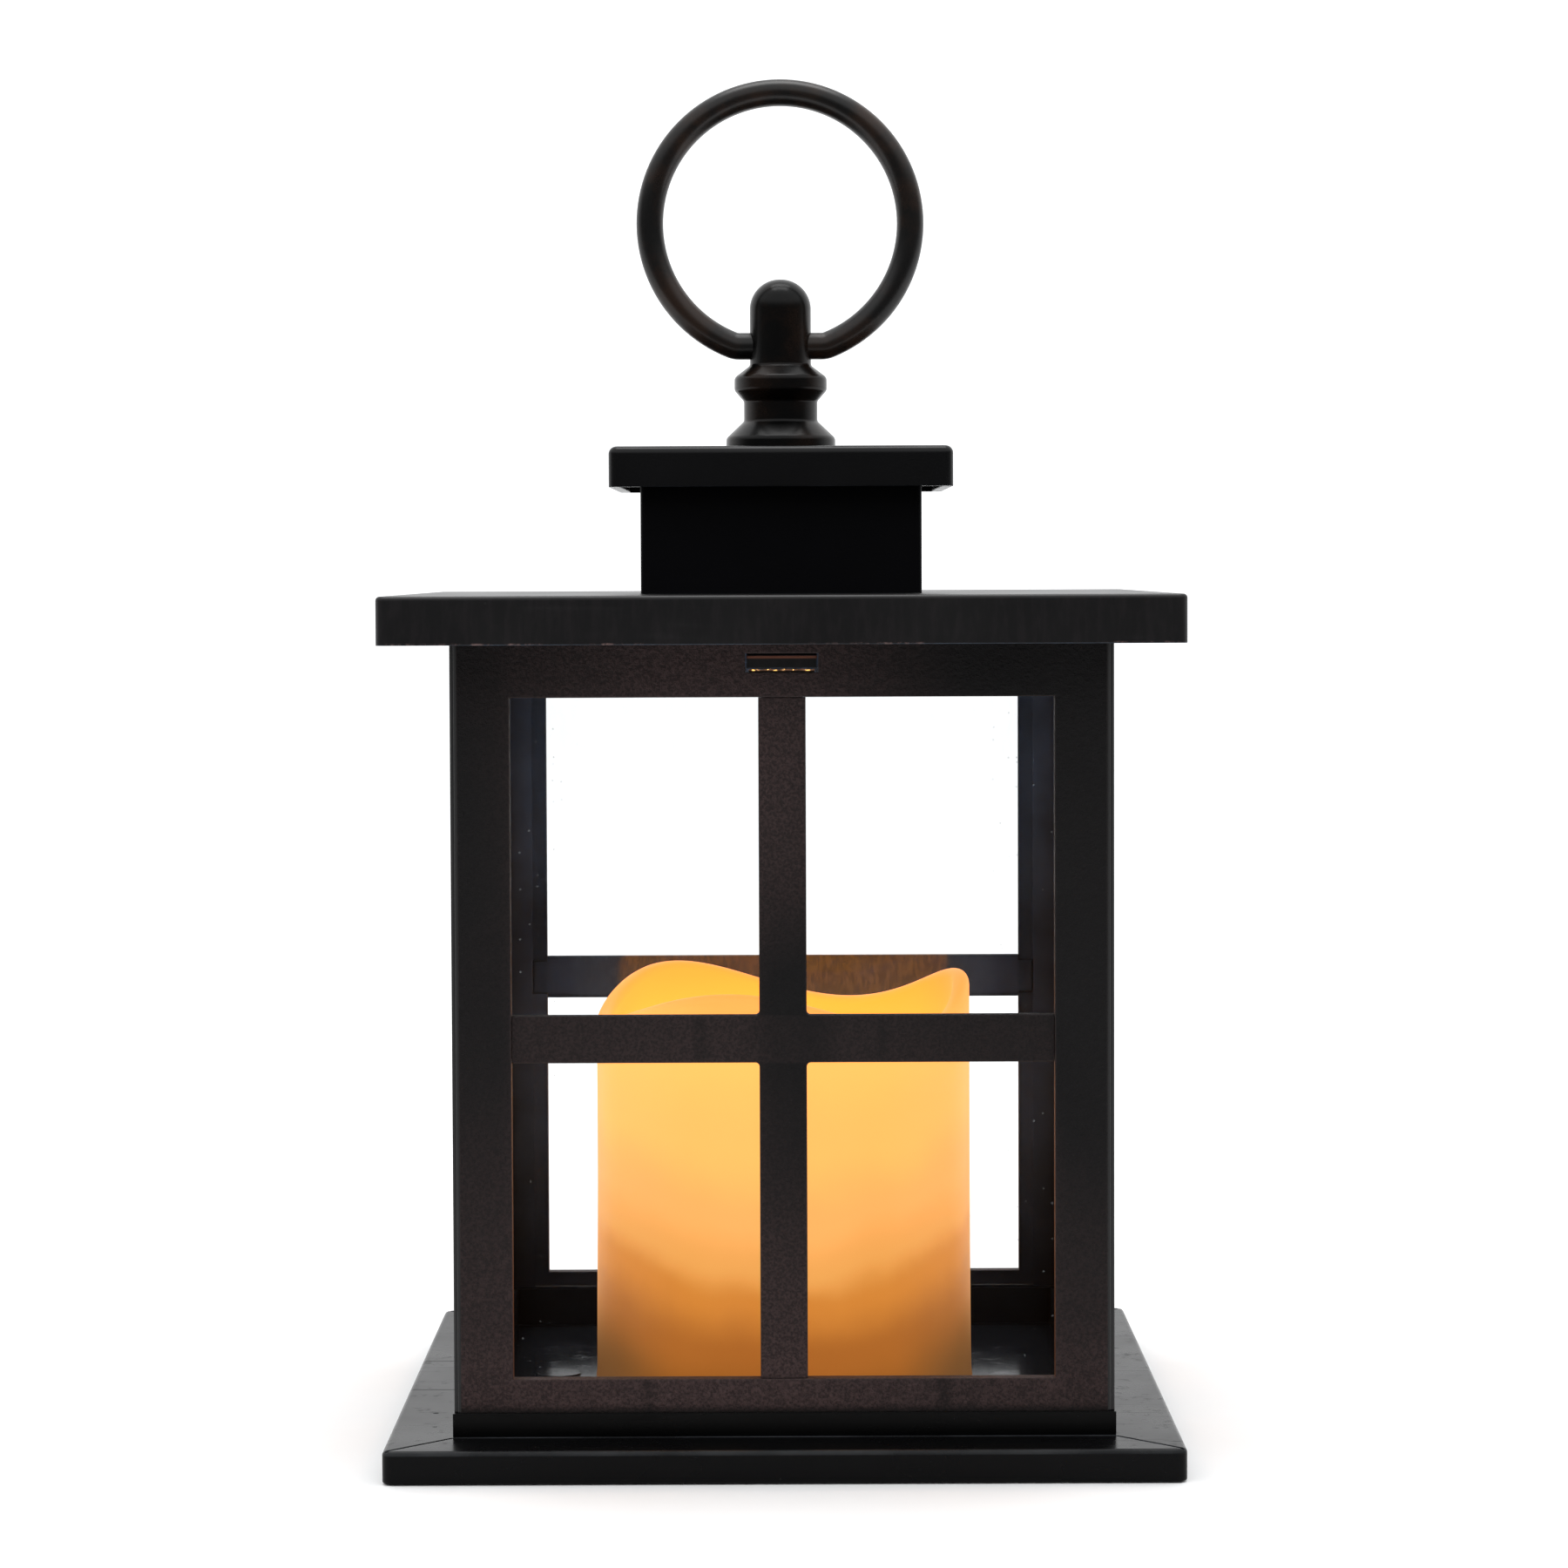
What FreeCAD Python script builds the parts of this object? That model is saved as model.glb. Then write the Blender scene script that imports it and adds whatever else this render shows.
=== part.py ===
import FreeCAD, Part
import math
import os
from types import SimpleNamespace

import Sketcher
from FreeCAD import Placement, Rotation, Vector

# A square window lantern with a built-in battery candle, in millimetres.
# The base stands on z = 0 with its centre at the origin, and the front faces -Y.

# Driving dimensions: name, size, what it is
DIMENSIONS = [
    ("ledge_width", 12.6, "base ledge beyond the walls"),
    ("base_height", 6.2, "underside of the base rim to the top of its ledge"),
    ("base_corner", 2.0, "radius of the base's upright corners"),
    ("base_edge", 0.9, "radius along the base's top edge"),
    ("base_foot_edge", 0.5, "radius along the base's bottom edge"),
    ("rim_wall", 2.0, "wall of the base rim"),
    ("deck_thick", 2.0, "thickness of the base ledge"),
    ("floor_drop", 0.4, "inside floor below the ledge"),
    ("mitre_width", 0.7, "width of the mitre grooves on the ledge"),
    ("mitre_depth", 0.3, "depth of the mitre grooves on the ledge"),
    ("plinth_height", 4.6, "height of the band under the walls"),
    ("plinth_proud", 0.2, "plinth beyond the wall faces"),
    ("lip_thick", 1.6, "thickness of the lip that the walls stand around"),
    ("lip_clear", 0.4, "lip below the panes"),
    ("lip_gap", 0.15, "clearance between lip and walls"),
    ("boss_clear", 3.3, "candle's foot to a cover boss"),
    ("boss_offset", 2.0, "cover boss sideways from the middle of its wall"),
    ("boss_radius", 4.5, "radius of a cover boss"),
    ("boss_crown", 0.5, "cover boss above the inside floor"),
    ("cover_rise", 0.8, "bottom cover above the standing surface"),
    ("cover_thick", 1.4, "thickness of the bottom cover"),
    ("cover_gap", 0.3, "clearance around the bottom cover and its door"),
    ("body_width", 124.8, "outside of the four walls"),
    ("panel_height", 152.3, "height of a wall"),
    ("panel_thick", 3.0, "thickness of a wall"),
    ("panel_bevel", 1.4, "bevel along the walls' upright corners"),
    ("stile_width", 11.25, "edge of a wall to its window"),
    ("sill_rise", 6.4, "foot of a wall to its window"),
    ("slot_height", 3.6, "height of the roof catch's slot"),
    ("slot_drop", 9.0, "top of a wall to its slot"),
    ("slot_land", 4.6, "slot to the window below it"),
    ("bar_width", 8.9, "width of a window bar"),
    ("bar_setback", 0.4, "window bars behind the wall face"),
    ("bar_corner", 0.8, "radius where the window bars cross"),
    ("bar_gap", 0.1, "clearance at the ends and tongues of the bars"),
    ("tongue_length", 3.0, "tongue of a bar into its wall"),
    ("tongue_shoulder", 1.0, "bar's edge to its tongue"),
    ("tongue_thick", 1.4, "thickness of a tongue"),
    ("pane_thick", 1.2, "thickness of a clear pane"),
    ("pane_lap", 3.0, "pane beyond its window opening"),
    ("eave_width", 12.6, "roof beyond the walls"),
    ("roof_skirt", 7.1, "depth of the roof's edge below its plate"),
    ("roof_thick", 2.0, "thickness of the roof plate"),
    ("roof_wall", 2.0, "wall of the roof's edge"),
    ("roof_corner", 1.6, "radius of the roof's upright corners"),
    ("roof_edge", 0.8, "radius along the roof's top edge"),
    ("rib_depth", 4.0, "depth of the rib inside the walls"),
    ("rib_thick", 1.6, "thickness of the rib and the catches"),
    ("rib_gap", 0.2, "clearance between rib and walls"),
    ("catch_width", 13.2, "width of a roof catch"),
    ("catch_side", 0.3, "room at each side of a catch in its slot"),
    ("catch_gap", 0.4, "room above a catch's nose in its slot"),
    ("catch_leak", 0.8, "room under a catch's nose in its slot"),
    ("catch_setback", 0.9, "catch's nose behind the wall face"),
    ("chimney_width", 55.0, "side of the square chimney"),
    ("chimney_height", 26.7, "height of the chimney"),
    ("chimney_wall", 2.0, "wall of the chimney"),
    ("chimney_corner", 1.0, "radius of the chimney's upright corners"),
    ("post_inset", 6.5, "chimney's face to the middle of its screw post"),
    ("post_radius", 3.0, "radius of a screw post"),
    ("cap_eave", 6.0, "cap beyond the chimney"),
    ("cap_thick", 2.0, "thickness of the cap's plate"),
    ("cap_skirt", 5.9, "depth of the cap's edge below its plate"),
    ("cap_wall", 2.0, "wall of the cap's edge"),
    ("cap_corner", 2.0, "radius of the cap's upright corners"),
    ("cap_edge", 1.5, "radius along the cap's top edge"),
    ("foot_radius", 11.0, "radius of the finial's foot"),
    ("foot_rim", 2.4, "height of the foot's rim"),
    ("foot_slope", 3.4, "height of the foot's cone"),
    ("neck_radius", 7.4, "radius of the finial's neck"),
    ("neck_height", 4.0, "height of the finial's neck"),
    ("collar_radius", 9.3, "radius of the finial's collar"),
    ("collar_under", 2.2, "height of the collar's lower cone"),
    ("collar_band", 2.6, "height of the collar's band"),
    ("collar_over", 2.4, "height of the collar's upper cone"),
    ("stem_radius", 6.15, "radius of the finial's stem"),
    ("stem_height", 17.3, "collar to the top of the stem's dome"),
    ("dome_flat", 0.15, "radius left flat on top of the dome"),
    ("turned_edge", 1.3, "radius on the finial's turned edges"),
    ("turned_root", 0.8, "radius in the finial's turned corners"),
    ("ring_wire", 2.7, "radius of the ring's wire"),
    ("ring_radius", 26.2, "middle of the wire to the ring's centre"),
    ("ring_rise", 24.6, "ring's pivot to its centre"),
    ("ring_heel", 4.0, "bend radius where the ring turns into its pivots"),
    ("ring_ends", 1.6, "space between the ring's two ends"),
    ("ring_fit", 0.07, "radial clearance of the ring's pivots"),
    ("pivot_rise", 3.9, "collar to the ring's pivot"),
    ("candle_radius", 37.9, "radius of the candle"),
    ("candle_flare", 0.3, "candle's foot beyond that radius"),
    ("candle_wall", 2.6, "wall of the candle shell"),
    ("candle_height", 78.4, "middle height of the candle's rim"),
    ("rim_wave", 4.3, "rise and fall of the candle's rim"),
    ("pool_depth", 12.0, "candle's rim to the floor of its hollow"),
    ("pool_inset", 3.4, "candle's face to the hollow's wall"),
    ("flange_thick", 2.0, "flange of the battery box"),
    ("flange_gap", 0.2, "clearance of the flange in the candle shell"),
    ("cell_radius", 5.25, "radius of a battery cell"),
    ("cell_length", 44.5, "length of a battery cell with its button"),
    ("cell_button", 0.9, "height of a cell's button"),
    ("button_radius", 1.9, "radius of a cell's button"),
    ("cell_gap", 0.5, "space between and around the cells"),
    ("bay_wall", 1.6, "wall of the battery box"),
    ("bay_gap", 0.3, "clearance of the box in the base's floor"),
    ("plate_thick", 0.4, "thickness of a battery contact"),
    ("plate_width", 7.0, "width of a battery contact"),
    ("plate_height", 8.4, "height of a battery contact"),
    ("button_gap", 0.1, "clearance at a cell's contacts"),
    ("spring_room", 3.0, "room for a leaf spring behind a cell"),
    ("spring_thick", 0.3, "thickness of a leaf spring"),
    ("spring_width", 4.0, "width of a leaf spring"),
    ("tab_width", 3.0, "width of a contact's solder tab"),
    ("tab_gap", 0.3, "clearance round a solder tab"),
    ("tab_tip", 0.8, "solder tab above the board"),
    ("board_thick", 1.6, "thickness of the circuit board"),
    ("board_inset", 0.3, "board inside the ends of the battery box"),
    ("board_margin", 3.0, "board beyond the middle of its solder tabs"),
    ("board_tongue", 16.0, "width of the board over the switch"),
    ("holder_radius", 6.0, "radius of the lamp holder"),
    ("holder_wall", 1.4, "wall of the lamp holder"),
    ("holder_foot", 8.5, "radius of the holder's foot"),
    ("holder_height", 22.0, "height of the lamp holder"),
    ("lamp_radius", 2.5, "radius of the lamp"),
    ("lamp_length", 8.6, "length of the lamp"),
    ("lamp_collar", 0.4, "lamp's collar beyond its radius"),
    ("lamp_gap", 0.1, "clearance of the lamp in its holder"),
    ("lead_radius", 0.25, "radius of a lamp lead"),
    ("lead_pitch", 2.54, "distance between the lamp leads"),
    ("hinge_setback", 3.2, "battery box's wall to the door's hinge"),
    ("barrel_radius", 1.4, "radius of the door's hinge barrel"),
    ("pin_radius", 1.0, "radius of the door's hinge pins"),
    ("pin_length", 2.6, "length of a hinge pin"),
    ("pin_fit", 0.08, "radial clearance of the hinge pins"),
    ("ear_thick", 4.0, "thickness of a hinge ear"),
    ("ear_wall", 0.9, "wall round a hinge pin"),
    ("door_lap", 1.2, "door beyond the cells' bay"),
    ("notch_radius", 7.0, "radius of the door's finger notch"),
    ("notch_depth", 2.4, "depth of the door's finger notch"),
    ("switch_length", 11.0, "length of the switch"),
    ("switch_depth", 4.6, "depth of the switch"),
    ("switch_height", 5.0, "height of the switch"),
    ("switch_wall", 0.7, "wall of the switch"),
    ("switch_gap", 0.15, "clearance of the slider"),
    ("switch_stand", 2.4, "battery box's wall to the switch"),
    ("slider_head", 4.2, "length of the slider's head"),
    ("slider_rise", 1.8, "height of the slider's head"),
    ("slider_stem", 3.0, "length of the slider's stem"),
    ("slider_width", 2.2, "width of the slider's stem"),
    ("slider_tip", 0.9, "slider above the standing surface"),
    ("slider_travel", 4.0, "travel of the slider"),
    ("slider_room", 0.4, "room round the slider's stem"),
    ("screw_radius", 1.2, "radius of a small screw"),
    ("screw_fit", 0.06, "radial clearance round a screw"),
    ("head_radius", 2.4, "radius of a small screw's head"),
    ("head_height", 1.5, "height of a small screw's pan head"),
    ("screw_length", 6.0, "length of a small screw below its head"),
    ("cover_screw_length", 4.2, "length of a cover screw with its head"),
    ("stud_radius", 3.2, "radius of a screw stud on the flange"),
    ("stud_height", 5.0, "height of a screw stud above the flange"),
    ("stud_spread", 10.0, "screw stud sideways from the middle"),
    ("stud_clear", 8.15, "battery box's wall to the middle of a screw stud"),
    ("bolt_radius", 1.9, "radius of the finial's screw"),
    ("bolt_length", 14.0, "length of the finial's screw below its head"),
    ("bolt_head", 3.6, "radius of the finial screw's head"),
    ("bolt_head_height", 2.6, "height of the finial screw's head"),
    ("washer_radius", 5.0, "radius of the finial's washer"),
    ("washer_thick", 0.8, "thickness of the finial's washer"),
]

SIDES = [("front", 0), ("right", 90), ("back", 180), ("left", 270)]
RIM_LOBES = 3
RIM_TURN = 24.0
RIM_POINTS = 48
QUARTER_TURNS = [(1, 0), (0, 1), (-1, 0), (0, -1)]
DIAGONALS = [(1, 1), (-1, 1), (-1, -1), (1, -1)]
TOUCH = 0.001

doc = FreeCAD.newDocument("lantern")
sub_parts = []


class Size:
    """A length that keeps both its number and the expression that it comes from."""

    def __init__(self, number, text):
        self.number = number
        self.text = text

    def __add__(self, other):
        other = as_size(other)
        return Size(self.number + other.number, f"({self.text} + {other.text})")

    def __sub__(self, other):
        other = as_size(other)
        return Size(self.number - other.number, f"({self.text} - {other.text})")

    def __mul__(self, factor):
        return Size(self.number * factor, f"({self.text} * ({factor}))")

    def __truediv__(self, divisor):
        return Size(self.number / divisor, f"({self.text} / {divisor})")

    def __neg__(self):
        return self * -1


def as_size(value):
    """Give a plain number the form of a Size."""
    if isinstance(value, Size):
        return value
    return Size(float(value), f"({float(value)})")


def dimension_sheet():
    """Write the driving dimensions to the sheet and return them by name."""
    sheet = doc.addObject("Spreadsheet::Sheet", "dims")
    named = {}
    for row, (name, number, meaning) in enumerate(DIMENSIONS, start=1):
        sheet.set(f"A{row}", meaning)
        sheet.set(f"B{row}", str(number))
        sheet.setAlias(f"B{row}", name)
        named[name] = Size(number, f"dims.{name}")
    doc.recompute()
    return SimpleNamespace(**named)


d = dimension_sheet()

# Levels and faces that several pieces share
deck_top = d.base_height
floor_top = deck_top - d.floor_drop
floor_under = deck_top - d.deck_thick
floor_thick = floor_top - floor_under
plinth_top = deck_top + d.plinth_height
wall_face = d.body_width / 2
wall_back = wall_face - d.panel_thick
base_half = wall_face + d.ledge_width
roof_half = wall_face + d.eave_width
sill_level = plinth_top + d.sill_rise
lip_height = d.sill_rise - d.pane_lap - d.lip_clear
lip_top = plinth_top + lip_height
walls_top = plinth_top + d.panel_height
slot_top = walls_top - d.slot_drop
slot_bottom = slot_top - d.slot_height
slot_half = d.catch_width / 2 + d.catch_side
window_top = slot_bottom - d.slot_land
window_half = wall_face - d.stile_width
bar_level = (sill_level + window_top) / 2
bar_half = d.bar_width / 2
roof_top = walls_top + d.roof_thick
roof_bottom = walls_top - d.roof_skirt
chimney_top = roof_top + d.chimney_height
chimney_half = d.chimney_width / 2
cap_half = chimney_half + d.cap_eave
cap_top = chimney_top + d.cap_thick
cap_bottom = chimney_top - d.cap_skirt
foot_top = cap_top + d.foot_rim + d.foot_slope
collar_bottom = foot_top + d.neck_height
collar_top = collar_bottom + d.collar_under + d.collar_band + d.collar_over
stem_top = collar_top + d.stem_height
pivot_level = collar_top + d.pivot_rise
ring_centre = pivot_level + d.ring_rise
cover_top = d.cover_rise + d.cover_thick
box_foot = cover_top + d.bay_gap
flange_top = floor_top + d.flange_thick
cell_pitch = d.cell_radius * 2 + d.cell_gap
cell_level = box_foot + d.cell_gap + d.cell_radius
bay_length = d.cell_length + d.plate_thick * 2 + d.button_gap + d.spring_room
bay_width = cell_pitch * 3 + d.cell_gap
bay_top = cell_level + d.cell_radius + d.cell_gap
box_length = bay_length + d.bay_wall * 2
box_width = bay_width + d.bay_wall * 2
box_top = bay_top + d.bay_wall
board_top = box_top + d.board_thick
candle_inside = d.candle_radius - d.candle_wall
flange_radius = candle_inside - d.flange_gap
rim_level = floor_top + d.candle_height
pool_level = rim_level - d.pool_depth
lamp_seat = board_top + d.holder_height
hinge_y = box_width / 2 + d.hinge_setback
hinge_z = d.cover_rise + d.barrel_radius
door_front = bay_width / 2 + d.door_lap
door_half = bay_length / 2 + d.door_lap
switch_y = -(box_width / 2 + d.switch_stand + d.switch_depth / 2)
switch_foot = box_top - d.switch_height
rest_shift = d.slider_travel / 2
stem_slot = d.slider_stem + d.slider_travel + d.slider_room * 2
stem_slot_width = d.slider_width + d.slider_room * 2
screw_hole = d.screw_radius + d.screw_fit
head_room = d.head_radius + d.screw_fit
bolt_hole = d.bolt_radius + d.screw_fit
post_place = chimney_half - d.post_inset
boss_reach = d.candle_radius + d.candle_flare + d.boss_clear + d.boss_radius
stud_reach = box_width / 2 + d.stud_clear
boss_places = [(boss_reach * x + d.boss_offset * y, boss_reach * y - d.boss_offset * x)
               for x, y in QUARTER_TURNS]
stud_places = [(d.stud_spread * x, stud_reach * y) for x, y in DIAGONALS]
post_places = [(post_place * x, post_place * y) for x, y in DIAGONALS]


# Drawing and solid helpers

def bind(thing, member, size):
    """Tie one size of a thing to its expression."""
    thing.setExpression(member, as_size(size).text)


def new_body(name, turn=0):
    """Start a body, turned about the upright axis."""
    body = doc.addObject("PartDesign::Body", name)
    body.Label = name
    body.Placement = Placement(Vector(), Rotation(Vector(0, 0, 1), turn))
    return body


def drawing_on(body, plane, offset=0):
    """A new sketch parallel to one of the body's origin planes."""
    drawing = body.newObject("Sketcher::SketchObject", f"{body.Name}_sketch")
    support = next(item for item in body.Origin.OriginFeatures if item.Role == plane)
    drawing.AttachmentSupport = [(support, "")]
    drawing.MapMode = "FlatFace"
    bind(drawing, "AttachmentOffset.Base.z", offset)
    return drawing


def pin_point(drawing, curve, point, across, up):
    """Hold a point of a curve at its distances from the sketch's origin."""
    for kind, size in (("DistanceX", as_size(across)), ("DistanceY", as_size(up))):
        index = drawing.addConstraint(Sketcher.Constraint(kind, -1, 1, curve, point, size.number))
        drawing.setExpression(f"Constraints[{index}]", size.text)


def outline(drawing, corners):
    """Draw a closed outline through its corners."""
    corners = [(as_size(across), as_size(up)) for across, up in corners]
    points = [Vector(across.number, up.number, 0) for across, up in corners]
    first = drawing.GeometryCount
    count = len(points)
    for index in range(count):
        drawing.addGeometry(Part.LineSegment(points[index], points[(index + 1) % count]), False)
    for index in range(count):
        following = first + (index + 1) % count
        drawing.addConstraint(Sketcher.Constraint("Coincident", first + index, 2, following, 1))
    for index, (across, up) in enumerate(corners):
        pin_point(drawing, first + index, 1, across, up)


def rectangle(drawing, left, right, low, high):
    """Draw a rectangle between its edges."""
    outline(drawing, [(left, low), (right, low), (right, high), (left, high)])


def square(drawing, half):
    """Draw a square about the sketch's origin."""
    half = as_size(half)
    rectangle(drawing, -half, half, -half, half)


def circle(drawing, across, up, radius):
    """Draw a circle about a point."""
    across, up, radius = as_size(across), as_size(up), as_size(radius)
    shape = Part.Circle(Vector(across.number, up.number, 0), Vector(0, 0, 1), radius.number)
    index = drawing.addGeometry(shape, False)
    pin_point(drawing, index, 3, across, up)
    held = drawing.addConstraint(Sketcher.Constraint("Radius", index, radius.number))
    drawing.setExpression(f"Constraints[{held}]", radius.text)


def pad(body, drawing, length, backwards=False):
    """Raise a drawing into the body."""
    feature = body.newObject("PartDesign::Pad", f"{body.Name}_pad")
    feature.Profile = drawing
    bind(feature, "Length", length)
    feature.Reversed = backwards
    doc.recompute()


def pocket(body, drawing, depth, backwards=False):
    """Sink a drawing into the body, and stop if it cuts nothing."""
    before = body.Tip.Shape.Volume
    feature = body.newObject("PartDesign::Pocket", f"{body.Name}_pocket")
    feature.Profile = drawing
    bind(feature, "Length", depth)
    feature.Reversed = backwards
    doc.recompute()
    if feature.Shape.Volume >= before - TOUCH:
        raise RuntimeError(f"{feature.Name} cuts nothing")


def revolve(body, drawing):
    """Turn a drawing on the XZ plane about the upright axis."""
    feature = body.newObject("PartDesign::Revolution", f"{body.Name}_turned")
    feature.Profile = drawing
    feature.ReferenceAxis = (drawing, ["V_Axis"])
    feature.Angle = 360.0
    doc.recompute()


def round_edges(body, radius, chosen):
    """Round the edges of the body that the given test chooses."""
    base = body.Tip
    names = [f"Edge{index}" for index, edge in enumerate(base.Shape.Edges, start=1) if chosen(edge)]
    feature = body.newObject("PartDesign::Fillet", f"{body.Name}_rounded")
    feature.Base = (base, names)
    bind(feature, "Radius", radius)
    doc.recompute()


def is_upright(edge):
    """True for a straight edge along Z."""
    box = edge.BoundBox
    return box.XLength < TOUCH and box.YLength < TOUCH


def runs_back(edge):
    """True for a straight edge along Y."""
    box = edge.BoundBox
    return box.XLength < TOUCH and box.ZLength < TOUCH


def lies_at(edge, level):
    """True for an edge that lies in one level."""
    box = edge.BoundBox
    return abs(box.ZMin - level.number) < TOUCH and abs(box.ZMax - level.number) < TOUCH


def place(thing, x, y, z):
    """Tie a thing's position to its expressions."""
    for axis, size in (("x", x), ("y", y), ("z", z)):
        bind(thing, f"Placement.Base.{axis}", size)


def block(name, width, depth, height, x=0, y=0, z=0):
    """A box centred on x and y that stands on z."""
    thing = doc.addObject("Part::Box", name)
    bind(thing, "Length", width)
    bind(thing, "Width", depth)
    bind(thing, "Height", height)
    place(thing, as_size(x) - as_size(width) / 2, as_size(y) - as_size(depth) / 2, z)
    return thing


def rod(name, radius, length, x=0, y=0, z=0):
    """An upright cylinder that stands on z."""
    thing = doc.addObject("Part::Cylinder", name)
    bind(thing, "Radius", radius)
    bind(thing, "Height", length)
    place(thing, x, y, z)
    return thing


def rod_across(name, radius, length, x=0, y=0, z=0):
    """A cylinder along X, centred on x."""
    thing = doc.addObject("Part::Cylinder", name)
    thing.Placement = Placement(Vector(), Rotation(Vector(0, 1, 0), 90))
    bind(thing, "Radius", radius)
    bind(thing, "Height", length)
    place(thing, as_size(x) - as_size(length) / 2, y, z)
    return thing


def cone(name, low_radius, high_radius, height, x=0, y=0, z=0):
    """An upright cone that stands on z."""
    thing = doc.addObject("Part::Cone", name)
    bind(thing, "Radius1", low_radius)
    bind(thing, "Radius2", high_radius)
    bind(thing, "Height", height)
    place(thing, x, y, z)
    return thing


def fuse(name, things):
    """Join solids into one."""
    joined = doc.addObject("Part::MultiFuse", name)
    joined.Shapes = things
    joined.Refine = True
    return joined


def cut(name, base, tools):
    """Take the tools away from the base."""
    result = doc.addObject("Part::Cut", name)
    result.Base = base
    result.Tool = tools[0] if len(tools) == 1 else fuse(f"{name}_tools", tools)
    return result


def gather(name, things):
    """Keep like solids together in one node, still separate."""
    group = doc.addObject("Part::Compound", name)
    group.Links = things
    return group


def hand_in(thing, name):
    """Name a finished sub-part."""
    thing.Label = name
    sub_parts.append(thing)


# Base

def base_tray():
    """Square base: rim, ledge with mitred corners, plinth, lip and inside floor."""
    body = new_body("base_tray")
    slab = drawing_on(body, "XY_Plane")
    square(slab, base_half)
    pad(body, slab, d.base_height)
    round_edges(body, d.base_corner, is_upright)
    round_edges(body, d.base_edge, lambda edge: lies_at(edge, deck_top))
    round_edges(body, d.base_foot_edge, lambda edge: lies_at(edge, as_size(0)))

    plinth_half = wall_face + d.plinth_proud
    plinth = drawing_on(body, "XY_Plane", deck_top)
    square(plinth, plinth_half)
    pad(body, plinth, d.plinth_height)
    lip_half = wall_back - d.lip_gap
    lip = drawing_on(body, "XY_Plane", plinth_top)
    square(lip, lip_half)
    pad(body, lip, lip_height)
    inside = drawing_on(body, "XY_Plane", lip_top)
    square(inside, lip_half - d.lip_thick)
    pocket(body, inside, lip_top - floor_top)
    hollow = drawing_on(body, "XY_Plane")
    square(hollow, base_half - d.rim_wall)
    pocket(body, hollow, floor_under, backwards=True)

    bosses = drawing_on(body, "XY_Plane", cover_top)
    for across, up in boss_places:
        circle(bosses, across, up, d.boss_radius)
    pad(body, bosses, floor_top + d.boss_crown - cover_top)
    pilots = drawing_on(body, "XY_Plane", cover_top)
    for across, up in boss_places:
        circle(pilots, across, up, screw_hole)
    pocket(body, pilots, d.cover_screw_length - d.cover_thick + d.screw_fit, backwards=True)

    openings = drawing_on(body, "XY_Plane", floor_under)
    box_half = box_length / 2 + d.bay_gap
    box_deep = box_width / 2 + d.bay_gap
    rectangle(openings, -box_half, box_half, -box_deep, box_deep)
    rectangle(openings, -stem_slot / 2, stem_slot / 2,
              switch_y - stem_slot_width / 2, switch_y + stem_slot_width / 2)
    for across, up in stud_places:
        circle(openings, across, up, screw_hole)
    pocket(body, openings, floor_thick, backwards=True)

    grooves = drawing_on(body, "XY_Plane", deck_top)
    slant = d.mitre_width / (2 * math.sqrt(2))
    for x, y in DIAGONALS:
        outline(grooves, [(plinth_half * x + slant * y, plinth_half * y - slant * x),
                          (base_half * x + slant * y, base_half * y - slant * x),
                          (base_half * x - slant * y, base_half * y + slant * x),
                          (plinth_half * x - slant * y, plinth_half * y + slant * x)])
    pocket(body, grooves, d.mitre_depth)
    hand_in(body, "base_tray")


def bottom_cover():
    """Flat cover in the base's underside, with the door's opening and hinge ears."""
    body = new_body("cover_plate")
    plate = drawing_on(body, "XY_Plane", d.cover_rise)
    square(plate, base_half - d.rim_wall - d.cover_gap)
    pad(body, plate, d.cover_thick)
    ears = drawing_on(body, "XY_Plane", d.cover_rise)
    ear_inner = door_half + d.cover_gap
    ear_outer = ear_inner + d.ear_thick
    ear_deep = d.pin_radius + d.pin_fit + d.ear_wall
    for near, far in ((ear_inner, ear_outer), (-ear_outer, -ear_inner)):
        rectangle(ears, near, far, hinge_y - ear_deep, hinge_y + ear_deep)
    pad(body, ears, hinge_z - d.cover_rise + d.pin_radius + d.pin_fit + d.ear_wall / 2)
    openings = drawing_on(body, "XY_Plane", d.cover_rise)
    rectangle(openings, -ear_inner, ear_inner, -(door_front + d.cover_gap),
              hinge_y + d.barrel_radius + d.cover_gap)
    rectangle(openings, -stem_slot / 2, stem_slot / 2,
              switch_y - stem_slot_width / 2, switch_y + stem_slot_width / 2)
    pocket(body, openings, d.cover_thick, backwards=True)
    bores = drawing_on(body, "YZ_Plane", ear_outer)
    circle(bores, hinge_y, hinge_z, d.pin_radius + d.pin_fit)
    pocket(body, bores, ear_outer * 2)
    sinks = [cone(f"cover_sink_{index}", head_room, screw_hole, d.cover_thick, x, y, d.cover_rise)
             for index, (x, y) in enumerate(boss_places)]
    hand_in(cut("bottom_cover", body, sinks), "bottom_cover")


def cover_screws():
    """Countersunk screws that hold the bottom cover to the bosses."""
    screws = []
    for index, (x, y) in enumerate(boss_places):
        head = cone(f"cover_screw_head_{index}", d.head_radius, d.screw_radius, d.cover_thick,
                    x, y, d.cover_rise)
        shank = rod(f"cover_screw_shank_{index}", d.screw_radius,
                    d.cover_screw_length - d.cover_thick, x, y, cover_top)
        screws.append(fuse(f"cover_screw_{index}", [head, shank]))
    hand_in(gather("cover_screws", screws), "cover_screws")


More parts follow.
